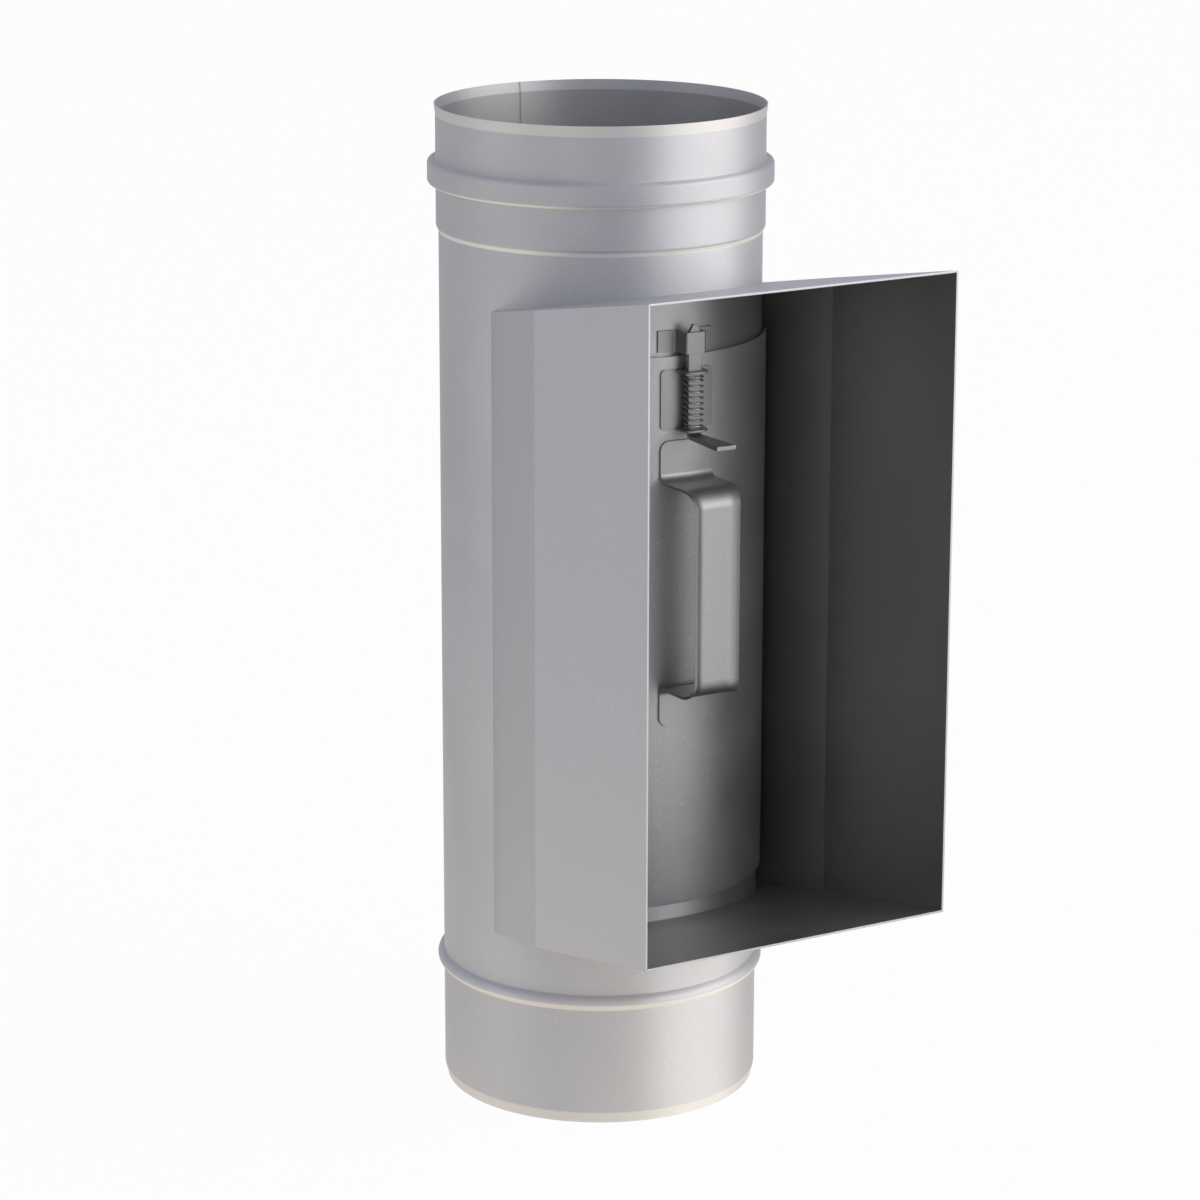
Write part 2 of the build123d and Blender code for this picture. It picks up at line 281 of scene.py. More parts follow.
class MeshWork:
    """Turns lists of points into finished mesh objects."""

    @staticmethod
    def solid(
        name: str, points: Sequence[Vector], faces: Sequence[Sequence[int]]
    ) -> bpy.types.Object:
        """A mesh object from points in millimetres.

        Args:
            name: The object's name.
            points: Its vertices.
            faces: Its faces, as lists of vertex numbers.

        Returns:
            The object, linked to the scene, with its faces turned outwards.
        """
        mesh = bpy.data.meshes.new(name)
        mesh.from_pydata([metres(p) for p in points], [], faces)
        mesh.validate()
        obj = bpy.data.objects.new(name, mesh)
        bpy.context.scene.collection.objects.link(obj)
        MeshWork.face_outwards(obj)
        return obj

    @staticmethod
    def face_outwards(obj: bpy.types.Object) -> None:
        """Turns all faces outwards, judged by the sign of the closed mesh's volume.

        Args:
            obj: The object.
        """
        mesh = obj.data
        mesh.calc_loop_triangles()
        volume = 0.0
        for tri in mesh.loop_triangles:
            a, b, c = (mesh.vertices[i].co for i in tri.vertices)
            volume += a.dot(b.cross(c))
        if volume < 0:
            mesh.flip_normals()

    @staticmethod
    def strip(name: str, stations: Sequence[Station]) -> bpy.types.Object:
        """A closed strip of sheet through cross-sections.

        Args:
            name: The object's name.
            stations: The cross-sections in order, each with the same number of points.

        Returns:
            The object.
        """
        width = len(stations[0].front)
        points: list[Vector] = []
        for station in stations:
            points.extend(station.front)
            points.extend(station.back)
        faces: list[tuple[int, ...]] = []

        def front(row: int, column: int) -> int:
            """The number of a point on the front skin."""
            return row * 2 * width + column

        def back(row: int, column: int) -> int:
            """The number of a point on the back skin."""
            return front(row, column) + width

        last = len(stations) - 1
        for row in range(last):
            up = row + 1
            for c in range(width - 1):
                faces.append((front(row, c), front(up, c), front(up, c + 1), front(row, c + 1)))
                faces.append((back(row, c), back(row, c + 1), back(up, c + 1), back(up, c)))
            faces.append((front(row, 0), back(row, 0), back(up, 0), front(up, 0)))
            e = width - 1
            faces.append((front(row, e), front(up, e), back(up, e), back(row, e)))
        for c in range(width - 1):
            faces.append((front(0, c), front(0, c + 1), back(0, c + 1), back(0, c)))
            faces.append((front(last, c), back(last, c), back(last, c + 1), front(last, c + 1)))
        return MeshWork.solid(name, points, faces)

    @staticmethod
    def turned(name: str, section: Sequence[Vector], segments: int) -> bpy.types.Object:
        """A closed section in (radius, height) turned about the flue's axis.

        Args:
            name: The object's name.
            section: The points round the section.
            segments: The number of flats round the axis.

        Returns:
            The object.
        """
        count = len(section)
        points = [polar(p.x, 360 * s / segments, p.y) for s in range(segments) for p in section]
        faces = []
        for s in range(segments):
            t = (s + 1) % segments
            for k in range(count):
                m = (k + 1) % count
                faces.append((s * count + k, t * count + k, t * count + m, s * count + m))
        return MeshWork.solid(name, points, faces)

    @staticmethod
    def wire(name: str, centres: Sequence[Vector], radius: float, sides: int) -> bpy.types.Object:
        """A round wire along a line of points, with flat ends.

        Args:
            name: The object's name.
            centres: The points that it follows.
            radius: The wire's radius.
            sides: The number of flats round it.

        Returns:
            The object.
        """
        points: list[Vector] = []
        normal = None
        for i, centre in enumerate(centres):
            ahead = centres[min(i + 1, len(centres) - 1)] - centres[max(i - 1, 0)]
            tangent = ahead.normalized()
            if normal is None:
                normal = tangent.orthogonal().normalized()
            normal = (normal - tangent * normal.dot(tangent)).normalized()
            binormal = tangent.cross(normal)
            for s in range(sides):
                angle = 2 * math.pi * s / sides
                ray = normal * radius * math.cos(angle) + binormal * radius * math.sin(angle)
                points.append(centre + ray)
        faces: list[tuple[int, ...]] = []
        for i in range(len(centres) - 1):
            for s in range(sides):
                t = (s + 1) % sides
                here, ahead = i * sides, (i + 1) * sides
                faces.append((here + s, here + t, ahead + t, ahead + s))
        faces.append(tuple(reversed(range(sides))))
        faces.append(tuple(range((len(centres) - 1) * sides, len(centres) * sides)))
        return MeshWork.solid(name, points, faces)

    @staticmethod
    def apply(obj: bpy.types.Object) -> None:
        """Puts what the object's modifiers make into its mesh and takes them off.

        Args:
            obj: The object.
        """
        evaluated = obj.evaluated_get(bpy.context.evaluated_depsgraph_get())
        mesh = bpy.data.meshes.new_from_object(evaluated)
        obj.modifiers.clear()
        obj.data = mesh

    @staticmethod
    def cut(obj: bpy.types.Object, cutter: bpy.types.Object) -> None:
        """Cuts one closed mesh out of another and removes the cutter.

        Args:
            obj: The object that is cut.
            cutter: The object whose shape is taken out of it.
        """
        modifier = obj.modifiers.new("cut", "BOOLEAN")
        modifier.operation = "DIFFERENCE"
        modifier.solver = "EXACT"
        modifier.object = cutter
        MeshWork.apply(obj)
        bpy.data.objects.remove(cutter)

    @staticmethod
    def soften(obj: bpy.types.Object, edge: float, segments: int = 2) -> None:
        """Rounds the sharp edges a little and shades the rest smooth.

        Args:
            obj: The object.
            edge: The width of the rounding, in millimetres; none is made at 0.
            segments: The number of flats across it.
        """
        if edge > 0:
            bevel = obj.modifiers.new("edges", "BEVEL")
            bevel.width = edge * MM
            bevel.segments = segments
            bevel.limit_method = "ANGLE"
            bevel.angle_limit = math.radians(ROUNDED_FROM_DEG)
            bevel.use_clamp_overlap = True
            MeshWork.apply(obj)
        obj.data.polygons.foreach_set("use_smooth", [True] * len(obj.data.polygons))
        obj.data.set_sharp_from_angle(angle=math.radians(SHARP_FROM_DEG))
        MeshWork.weigh_normals(obj)

    @staticmethod
    def weigh_normals(obj: bpy.types.Object) -> None:
        """Lets the large faces rule the shading of the small ones between them.

        Args:
            obj: The object.
        """
        weights = obj.modifiers.new("weights", "WEIGHTED_NORMAL")
        weights.keep_sharp = True
        MeshWork.apply(obj)

    @staticmethod
    def join(name: str, parts: Sequence[bpy.types.Object]) -> bpy.types.Object:
        """Joins finished objects that sit at the origin into one piece.

        Args:
            name: The new object's name.
            parts: The objects, which are removed.

        Returns:
            The joined object.
        """
        points: list[Vector] = []
        faces: list[tuple[int, ...]] = []
        smooth: list[bool] = []
        sharp: set[tuple[int, int]] = set()
        for part in parts:
            start = len(points)
            points.extend(v.co.copy() for v in part.data.vertices)
            faces.extend(tuple(i + start for i in p.vertices) for p in part.data.polygons)
            smooth.extend(p.use_smooth for p in part.data.polygons)
            for e in part.data.edges:
                if e.use_edge_sharp:
                    sharp.add(tuple(sorted((e.vertices[0] + start, e.vertices[1] + start))))
            bpy.data.objects.remove(part)
        mesh = bpy.data.meshes.new(name)
        mesh.from_pydata(points, [], faces)
        mesh.polygons.foreach_set("use_smooth", smooth)
        for e in mesh.edges:
            if tuple(sorted(e.vertices)) in sharp:
                e.use_edge_sharp = True
        obj = bpy.data.objects.new(name, mesh)
        bpy.context.scene.collection.objects.link(obj)
        MeshWork.weigh_normals(obj)
        return obj


@dataclass(frozen=True)
class PlateShape:
    """A rectangle with rounded corners wrapped round the flue's axis, in millimetres."""

    inner: float
    thickness: float
    half_angle: float
    bottom: float
    top: float
    corner: float = 0.0
    middle: float = -90.0
    step_deg: float = 2.0

    def columns(self) -> list[tuple[float, float, float]]:
        """The plate's upright lines.

        Returns:
            For each line its angle from the plate's middle, its lowest and its highest point.
        """
        outer = self.inner + self.thickness
        corner_deg = math.degrees(self.corner / outer)
        flat = self.half_angle - corner_deg
        angles: list[float] = []
        if self.corner > 0:
            for k in range(CORNER_FLATS):
                turn = math.radians(90 * k / CORNER_FLATS)
                angles.append(-flat - corner_deg * math.cos(turn))
        count = max(2, math.ceil(2 * flat / self.step_deg))
        angles.extend(-flat + 2 * flat * k / count for k in range(count + 1))
        if self.corner > 0:
            angles.extend(-a for a in reversed(angles[:CORNER_FLATS]))
        found = []
        for angle in angles:
            over = min(max(abs(angle) - flat, 0.0) / corner_deg, 1.0) if self.corner > 0 else 0.0
            inset = self.corner * (1 - math.sqrt(max(0.0, 1 - over * over)))
            found.append((angle, self.bottom + inset, self.top - inset))
        return found

    def stations(self) -> list[Station]:
        """The plate's cross-sections.

        Returns:
            The sections from one side to the other.
        """
        outer = self.inner + self.thickness
        return [
            Station(
                [polar(outer, self.middle + a, low), polar(outer, self.middle + a, high)],
                [polar(self.inner, self.middle + a, low), polar(self.inner, self.middle + a, high)],
            )
            for a, low, high in self.columns()
        ]

    def build(self, name: str) -> bpy.types.Object:
        """The plate as a closed mesh object."""
        return MeshWork.strip(name, self.stations())


class NodeBench:
    """Places and joins the nodes of one material."""

    def __init__(self, name: str) -> None:
        """Starts an empty node material with its output and its surface shader.

        Args:
            name: The material's name.
        """
        self.material = bpy.data.materials.new(name)
        self.material.use_nodes = True
        self.tree = self.material.node_tree
        self.tree.nodes.clear()
        self.output = self.tree.nodes.new("ShaderNodeOutputMaterial")
        self.shader = self.tree.nodes.new("ShaderNodeBsdfPrincipled")
        self.tree.links.new(self.shader.outputs[0], self.output.inputs[0])
        self.place = self.add("ShaderNodeTexCoord").outputs["Object"]

    def add(
        self, kind: str, settings: dict[str, Any] | None = None, **inputs: Any
    ) -> bpy.types.Node:
        """Adds a node.

        Args:
            kind: The node's type.
            settings: Attributes of the node.
            **inputs: Values or sockets for its inputs, by name, with _ for a space.

        Returns:
            The node.
        """
        node = self.tree.nodes.new(kind)
        for key, value in (settings or {}).items():
            setattr(node, key, value)
        for key, value in inputs.items():
            self.feed(node, key.replace("_", " "), value)
        return node

    def feed(self, node: bpy.types.Node, socket: str | int, value: Any) -> None:
        """Gives an input a value or joins it to a socket.

        Args:
            node: The node that has the input.
            socket: The input's name or number.
            value: A number, a colour, a vector or another node's socket.
        """
        if isinstance(value, bpy.types.NodeSocket):
            self.tree.links.new(value, node.inputs[socket])
        else:
            node.inputs[socket].default_value = value

    def stretched(self, scale: Sequence[float]) -> Socket:
        """The object's coordinates scaled along each axis."""
        return self.add("ShaderNodeMapping", Vector=self.place, Scale=tuple(scale)).outputs[0]

    def noise(self, where: Socket, scale: float, detail: float, rough: float = 0.55) -> Socket:
        """A noise field.

        Args:
            where: The coordinates that it is laid in.
            scale: How often it changes along one metre.
            detail: The number of finer fields laid over it.
            rough: How strong the finer fields are.

        Returns:
            The field, from 0 to 1.
        """
        node = self.add("ShaderNodeTexNoise", Vector=where, Scale=scale, Detail=detail)
        self.feed(node, "Roughness", rough)
        return node.outputs["Fac"]

    def span(self, value: Socket, low: float, high: float, to_low: float, to_high: float) -> Socket:
        """A value carried from one span to another, held at its ends.

        Args:
            value: The value.
            low: The start of its span.
            high: The end of its span.
            to_low: What the start becomes.
            to_high: What the end becomes.

        Returns:
            The carried value.
        """
        node = self.add("ShaderNodeMapRange")
        for socket, number in zip((1, 2, 3, 4), (low, high, to_low, to_high)):
            node.inputs[socket].default_value = number
        self.feed(node, 0, value)
        return node.outputs[0]

    def along(self, axis: Axis) -> Socket:
        """The place along one axis, in metres."""
        return self.add("ShaderNodeSeparateXYZ", Vector=self.place).outputs[axis.value]

    def line(self, axis: Axis, at_mm: float, soft_mm: float, before: float, after: float) -> Socket:
        """A value that changes where the surface crosses a line.

        Args:
            axis: The axis that the line lies across.
            at_mm: The line's place along it.
            soft_mm: How far before and behind the line the change reaches.
            before: The value before the line.
            after: The value behind it.

        Returns:
            The value.
        """
        low, high = (at_mm - soft_mm) * MM, (at_mm + soft_mm) * MM
        return self.span(self.along(axis), low, high, before, after)

    def maths(self, operation: str, one: Socket | float, two: Socket | float = 0.0) -> Socket:
        """One step of arithmetic.

        Args:
            operation: The operation's name.
            one: The first value.
            two: The second value.

        Returns:
            The result.
        """
        node = self.add("ShaderNodeMath", {"operation": operation})
        self.feed(node, 0, one)
        self.feed(node, 1, two)
        return node.outputs[0]

    def vectors(self, operation: str, one: Any, two: Any = (0.0, 0.0, 0.0)) -> bpy.types.Node:
        """One step of vector arithmetic.

        Args:
            operation: The operation's name.
            one: The first vector, as numbers or a socket.
            two: The second vector.

        Returns:
            The node, with the result in Vector or Value.
        """
        node = self.add("ShaderNodeVectorMath", {"operation": operation})
        self.feed(node, 0, one)
        self.feed(node, 1, two)
        return node

    def blend(self, amount: Socket, one: Socket | Sequence[float], two: Sequence[float]) -> Socket:
        """A colour carried towards a second one.

        Args:
            amount: How far it is carried, from 0 to 1.
            one: The first colour, as a socket or three numbers.
            two: The second colour.

        Returns:
            The mixed colour.
        """
        node = self.add("ShaderNodeMix", {"data_type": "RGBA"})
        self.feed(node, 0, amount)
        self.feed(node, 6, one if isinstance(one, Socket) else (*one, 1.0))
        self.feed(node, 7, (*two, 1.0))
        return node.outputs[2]

    def faces(self, centre: Sequence[float], mask: Sequence[float]) -> Socket:
        """Finds the side of the sheet that faces a point.

        Args:
            centre: The point, in metres.
            mask: 1 for each axis that counts and 0 for each that doesn't.

        Returns:
            1 where the surface faces the point, else 0.
        """
        towards = self.vectors("SUBTRACT", tuple(centre), self.place)
        flat = self.vectors("MULTIPLY", towards.outputs[0], tuple(mask))
        normal = self.add("ShaderNodeNewGeometry").outputs["True Normal"]
        meet = self.vectors("DOT_PRODUCT", flat.outputs[0], normal)
        return self.maths("GREATER_THAN", meet.outputs["Value"], 0.0)

    def relief(self, height: Socket, depth_mm: float, under: Socket | None = None) -> Socket:
        """A bump of a real depth.

        Args:
            height: The height, from 0 to 1.
            depth_mm: The depth that 1 stands for.
            under: Another bump that it lies on.

        Returns:
            The bumped normal.
        """
        node = self.add("ShaderNodeBump", Strength=1.0, Distance=depth_mm * MM, Height=height)
        if under is not None:
            self.feed(node, "Normal", under)
        return node.outputs[0]


@dataclass(frozen=True)
class WeldSeam:
    """The butt weld that closes the tube along its back."""

    ripple_scale: float = 900.0
    wander_mm: float = 0.12
    core_mm: tuple[float, float] = (0.12, 0.34)
    halo_mm: tuple[float, float] = (0.3, 1.4)
    halo_share: float = 0.12
    colour: Colour = (0.13, 0.12, 0.12)
    colour_share: float = 0.75
    bead_mm: float = 0.05

    def lay(self, bench: NodeBench, colour: Socket, normal: Socket) -> tuple[Socket, Socket]:
        """Adds the weld to a finish.

        Args:
            bench: The nodes of the material.
            colour: The sheet's colour so far.
            normal: The sheet's bump so far.

        Returns:
            The colour and the bump with the weld in them.
        """
        ripple = bench.noise(bench.stretched((0.0, 0.0, self.ripple_scale)), 1.0, 2.0)
        wander = bench.span(ripple, 0.0, 1.0, -self.wander_mm * MM, self.wander_mm * MM)
        aside = bench.maths("ABSOLUTE", bench.maths("ADD", bench.along(Axis.X), wander))
        back = bench.maths("GREATER_THAN", bench.along(Axis.Y), 0.0)
        core = bench.span(aside, self.core_mm[0] * MM, self.core_mm[1] * MM, 1.0, 0.0)
        glow = bench.span(aside, self.halo_mm[0] * MM, self.halo_mm[1] * MM, self.halo_share, 0.0)
        mask = bench.maths("MULTIPLY", core, back)
        halo = bench.maths("MULTIPLY", glow, back)
        share = bench.maths("MAXIMUM", bench.maths("MULTIPLY", mask, self.colour_share), halo)
        bead = bench.maths("MULTIPLY", mask, bench.span(ripple, 0.2, 0.8, 0.6, 1.0))
        return bench.blend(share, colour, self.colour), bench.relief(bead, self.bead_mm, normal)


@dataclass(frozen=True)
class MetalFinish:
    """A satin steel sheet with grain, rolling lines, clouds, flecks and painted light and shade.

    Sizes ending in _mm are on the real piece. A band of painted highlight is its lowest and highest
    place and its share. The side that faces the inside point may get painted shade up to a height,
    and the outside behind a fold may get painted shade that makes it a little darker.
    """

    name: str
    slot: Slot
    colour: Colour
    roughness: float
    roughness_swing: float = 0.06
    cloud_mm: float = 60.0
    cloud_swing: float = 0.04
    grain_mm: float = 0.45
    grain_depth_mm: float = 0.004
    lines: tuple[float, float, float] = (30.0, 30.0, 1400.0)
    lines_depth_mm: float = 0.0015
    fleck_mm: float = 1.1
    fleck_gain: float = 0.2
    fleck_light: float = 1.8
    fleck_span: tuple[float, float] = (0.62, 0.78)
    brushed: float = 0.0
    brushed_turn: float = 0.25
    seam: WeldSeam | None = None
    line_soft_mm: float = 0.3
    # Painted highlights: warm bright bands on the outer side, each its lowest and highest height
    # and its share, in the colour on the next line
    highlight_bands: tuple[tuple[float, float, float], ...] = ()
    highlight_colour: Colour = (0.97, 0.92, 0.84)
    # Painted shade: how far the side facing the inside point is darkened below a height, towards
    # the dark colour at the end of this list
    painted_inside_shade: float = 0.0
    inside_mm: tuple[float, float, float] = (0.0, -120.0, 200.0)
    inside_axes: tuple[float, float, float] = (1.0, 1.0, 1.0)
    painted_shade_below_mm: float = 1000.0
    painted_shade_soft_mm: float = 0.2
    # Painted shade: the outside behind this fold is darkened by fold_shade
    fold_mm: float | None = None
    fold_shade: float = 0.15
    painted_shade_colour: Colour = (0.3, 0.298, 0.285)

    def material(self) -> bpy.types.Material:
        """Builds the finish as a node material.

        Returns:
            The material.
        """
        bench = NodeBench(self.name)
        cloud = bench.noise(bench.place, 1000 / self.cloud_mm, 3.0)
        grain = bench.noise(bench.place, 1000 / self.grain_mm, 2.0, 0.7)
        lines = bench.noise(bench.stretched(self.lines), 1.0, 4.0, 0.6)
        colour = self._paint_light_and_shade(bench, self._clouded(bench, cloud))
        normal = bench.relief(grain, self.grain_depth_mm)
        normal = bench.relief(lines, self.lines_depth_mm, normal)
        if self.seam is not None:
            colour, normal = self.seam.lay(bench, colour, normal)
        swing = self.roughness_swing
        clouds = bench.span(cloud, NOISE_LOW, NOISE_HIGH, -swing, swing)
        grains = bench.span(grain, NOISE_LOW, NOISE_HIGH, -swing / 2, swing / 2)
        rough = bench.maths("ADD", bench.maths("ADD", clouds, self.roughness), grains)
        bench.feed(bench.shader, "Base Color", colour)
        bench.feed(bench.shader, "Roughness", rough)
        bench.feed(bench.shader, "Normal", normal)
        bench.feed(bench.shader, "Metallic", 1.0)
        bench.feed(bench.shader, "Anisotropic", self.brushed)
        bench.feed(bench.shader, "Anisotropic Rotation", self.brushed_turn)
        return bench.material

    def _clouded(self, bench: NodeBench, cloud: Socket) -> Socket:
        """The sheet's colour with its faint clouds and bright flecks.

        Args:
            bench: The nodes of the material.
            cloud: The noise field of the clouds.

        Returns:
            The colour.
        """
        shade = bench.span(cloud, NOISE_LOW, NOISE_HIGH, 0.0, 1.0)
        dark = [c * (1 - self.cloud_swing) for c in self.colour]
        light = [min(1.0, c * (1 + self.cloud_swing)) for c in self.colour]
        bright = [min(1.0, c * self.fleck_light) for c in self.colour]
        fleck = bench.noise(bench.place, 1000 / self.fleck_mm, 1.0, 0.5)
        flecks = bench.span(fleck, *self.fleck_span, 0.0, 1.0)
        flecks = bench.maths("MULTIPLY", flecks, self.fleck_gain)
        return bench.blend(flecks, bench.blend(shade, dark, light), bright)

    def _paint_light_and_shade(self, bench: NodeBench, colour: Socket) -> Socket:
        """Paints highlight bands outside, and paints shade on the inside and behind the fold.

        Args:
            bench: The nodes of the material.
            colour: The sheet's colour so far.

        Returns:
            The colour with the painted light and shade in it.
        """
        inwards = bench.faces(metres(self.inside_mm), self.inside_axes)
        outwards = bench.maths("SUBTRACT", 1.0, inwards)
        soft = self.line_soft_mm
        # Painted highlights: warm bright bands on the outer side between given heights
        if self.highlight_bands:
            amount: Socket | float = 0.0
            for low, high, share in self.highlight_bands:
                rising = bench.line(Axis.Z, low, soft, 0.0, share)
                falling = bench.line(Axis.Z, high, soft, share, 0.0)
                amount = bench.maths("MAXIMUM", amount, bench.maths("MINIMUM", rising, falling))
            colour = bench.blend(bench.maths("MULTIPLY", amount, outwards), colour, self.highlight_colour)
        # Painted shade: the side facing the inside point is darkened below a height
        if self.painted_inside_shade:
            edge, amount = self.painted_shade_soft_mm, self.painted_inside_shade
            below = bench.line(Axis.Z, self.painted_shade_below_mm, edge, amount, 0.0)
            colour = bench.blend(bench.maths("MULTIPLY", below, inwards), colour, self.painted_shade_colour)
        # Painted shade: the outside behind the fold is darkened
        if self.fold_mm is not None:
            behind = bench.line(Axis.Y, self.fold_mm, soft, 0.0, self.fold_shade)
            colour = bench.blend(bench.maths("MULTIPLY", behind, outwards), colour, self.painted_shade_colour)
        return colour


@dataclass(frozen=True)
class FibreFinish:
    """Pressed mineral fibre, dark, soft and flecked."""

    name: str
    slot: Slot
    colour: Colour
    roughness: float = 0.93
    contrast: tuple[float, float] = (0.6, 1.5)
    fibre_scale: float = 900.0
    clump_scale: float = 160.0
    depth_mm: float = 0.12

    def material(self) -> bpy.types.Material:
        """Builds the finish as a node material.

        Returns:
            The material.
        """
        bench = NodeBench(self.name)
        felt = bench.noise(bench.stretched((1.0, 1.0, 1.8)), self.fibre_scale, 5.0, 0.7)
        clumps = bench.noise(bench.place, self.clump_scale, 3.0)
        mixed = bench.maths("MULTIPLY", bench.maths("ADD", felt, clumps), 0.5)
        dark, light = ([c * share for c in self.colour] for share in self.contrast)
        colour = bench.blend(bench.span(mixed, NOISE_LOW, NOISE_HIGH, 0.0, 1.0), dark, light)
        bench.feed(bench.shader, "Base Color", colour)
        bench.feed(bench.shader, "Roughness", self.roughness)
        bench.feed(bench.shader, "Sheen Weight", 0.25)
        bench.feed(bench.shader, "Sheen Roughness", 0.6)
        bench.feed(bench.shader, "Normal", bench.relief(mixed, self.depth_mm))
        return bench.material


BOX_ROLLING = (1400.0, 30.0, 30.0)

FINISHES: dict[Coat, MetalFinish | FibreFinish] = {
    Coat.TUBE: MetalFinish(
        "tube_satin",
        Slot.STAINLESS,
        (0.65, 0.64, 0.645),
        0.6,
        brushed=0.7,
        seam=WeldSeam(),
        # Painted highlights: warm bright bands at the spigot's lead-in, the bead, the step, the
        # groove and the lip
        highlight_bands=(
            (-57.4, -51.9, 0.45),
            (-0.4, 3.0, 0.62),
            (359.0, 360.9, 1.0),
            (380.7, 382.3, 1.0),
            (413.2, 418.4, 0.5),
        ),
        # Painted shade on the tube's inner side below the lip
        painted_inside_shade=0.45,
        inside_mm=(0.0, 0.0, 0.0),
        inside_axes=(1.0, 1.0, 0.0),
        painted_shade_below_mm=413.4,
    ),
    Coat.COVER: MetalFinish(
        "cover_satin", Slot.STAINLESS, (0.47, 0.468, 0.472), 0.52, fleck_gain=0.4
    ),
    Coat.WALL: MetalFinish(
        "box_wall_matt",
        Slot.BOX,
        (0.59, 0.585, 0.605),
        0.5,
        lines=BOX_ROLLING,
        # Painted shade on the box's inside
        painted_inside_shade=0.8,
        # Painted shade on the outside of the wall behind its fold
        fold_mm=-77.6,
        fold_shade=0.2,
    ),
    Coat.PLATE: MetalFinish(
        "box_plate_matt",
        Slot.BOX,
        (0.58, 0.575, 0.595),
        0.5,
        lines=BOX_ROLLING,
        # Painted shade on the box's inside
        painted_inside_shade=0.8,
    ),
    # The latch and the hooks wear a darker copy of the fittings steel than the handle: painted
    # shade
    Coat.LATCH: MetalFinish(
        "latch_satin", Slot.FITTINGS, (0.36, 0.36, 0.362), 0.5, grain_depth_mm=0.006
    ),
    Coat.HANDLE: MetalFinish(
        "handle_satin", Slot.FITTINGS, (0.44, 0.44, 0.44), 0.5, grain_depth_mm=0.006
    ),
    Coat.SPRING: MetalFinish(
        "spring_wire",
        Slot.SPRING,
        (0.42, 0.42, 0.422),
        0.38,
        grain_depth_mm=0.002,
        lines=(900.0, 900.0, 60.0),
    ),
    Coat.GASKET: FibreFinish("gasket_fibre", Slot.GASKET, (0.06, 0.06, 0.065)),
}


class Wardrobe:
    """Holds one material for each coat and dresses pieces with them."""

    def __init__(self) -> None:
        """Builds every finish once."""
        self.materials = {coat: finish.material() for coat, finish in FINISHES.items()}

    def dress(self, obj: bpy.types.Object, coat: Coat, body: Body, *nodes: str) -> bpy.types.Object:
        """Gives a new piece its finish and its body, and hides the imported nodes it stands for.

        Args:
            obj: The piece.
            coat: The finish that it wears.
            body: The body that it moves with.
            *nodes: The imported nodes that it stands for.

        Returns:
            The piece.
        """
        obj.data.materials.clear()
        obj.data.materials.append(self.materials[coat])
        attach(obj, body.value)
        if nodes:
            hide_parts(*nodes)
        LOG.info("%s: %d faces, %s", obj.name, len(obj.data.polygons), coat.value)
        return obj


@dataclass
class FlueTube:
    """The round tube with its spigot, stop bead and socket."""

    bore: float = 75.0
    wall: float = 0.6
    spigot: float = 57.2
    length: float = 418.2
    lead_in: tuple[float, float] = (1.3, 5.5)
    bead_height: float = 7.1
    bead_proud: float = 3.0
    bead_root: float = 0.6
    socket_grow: float = 1.2
    socket_depth: float = 59.0
    step: float = 2.6
    groove_proud: float = 3.9
    groove_height: float = 11.1
    groove_below_rim: float = 25.7
    lip: tuple[float, float] = (0.6, 4.8)
    lead_in_bend: float = 4.0
    step_bend: float = 2.0
    groove_root: float = 0.7
    groove_corner: float = 1.9
    lip_bend: float = 6.0
    cut_edge: float = 0.14
    segments: int = 256

    @property
    def radius(self) -> float:
        """The tube's outer radius."""
        return self.bore + self.wall

    def _line(self) -> SheetLine:
        """Draws the outer skin, with the sheet on its inner side.

        Returns:
            The line from the foot to the rim.
        """
        outer, socket = self.radius, self.radius + self.socket_grow
        line = SheetLine()
        line.run(
            [
                Corner(outer - self.lead_in[0], -self.spigot),
                Corner(outer, self.lead_in[1] - self.spigot, self.lead_in_bend),
                Corner(outer, -self.bead_root * 2),
            ],
            Growth.LEFT,
            3.0,
        )
        self._bead(line, outer)
        step_top = self.length - self.socket_depth + self.step
        groove_top = self.length - self.groove_below_rim
        groove_bottom = groove_top - self.groove_height
        crest = socket + self.groove_proud
        line.run(
            [
                Corner(outer, self.bead_height + 2 * self.bead_root),
                Corner(outer, step_top - self.step, self.step_bend),
                Corner(socket, step_top, self.step_bend),
                Corner(socket, groove_bottom, self.groove_root),
                Corner(crest, groove_bottom, self.groove_corner),
                Corner(crest, groove_top, self.groove_corner),
                Corner(socket, groove_top, self.groove_root),
                Corner(socket, self.length - self.lip[1], self.lip_bend),
                Corner(socket + self.lip[0], self.length),
            ],
            Growth.LEFT,
        )
        return line

    def _bead(self, line: SheetLine, outer: float) -> None:
        """Adds the rolled stop bead: a crest arc with a small root arc at each side.

        Args:
            line: The line that it is added to.
            outer: The tube's outer radius.
        """
        half = self.bead_height / 2
        crest = (half**2 + self.bead_proud**2) / (2 * self.bead_proud)
        centre = Vector((outer + self.bead_proud - crest, half))
        root_x = outer + self.bead_root
        rise = math.sqrt((crest + self.bead_root) ** 2 - (root_x - centre.x) ** 2)
        swing = math.degrees(math.atan2(rise, root_x - centre.x))
        line.arc(Vector((root_x, half - rise)), self.bead_root, 180, 180 - swing, True)
        line.arc(centre, crest, -swing, swing, False)
        line.arc(Vector((root_x, half + rise)), self.bead_root, 180 + swing, 180, True)

    def build(self, wardrobe: Wardrobe, opening: PlateShape) -> bpy.types.Object:
        """Turns the tube, cuts its inspection opening and dresses it.

        Args:
            wardrobe: The finishes.
            opening: The shape of the opening.

        Returns:
            The tube.
        """
        loop = self._line().section(self.wall, self.cut_edge)
        section = [Vector((p.x, min(p.y, self.length))) for p in loop]
        tube = MeshWork.turned("flue_tube_skin", section, self.segments)
        MeshWork.cut(tube, opening.build("opening_cutter"))
        MeshWork.soften(tube, 0.0)
        return wardrobe.dress(tube, Coat.TUBE, Body.FLUE, "flue_tube")


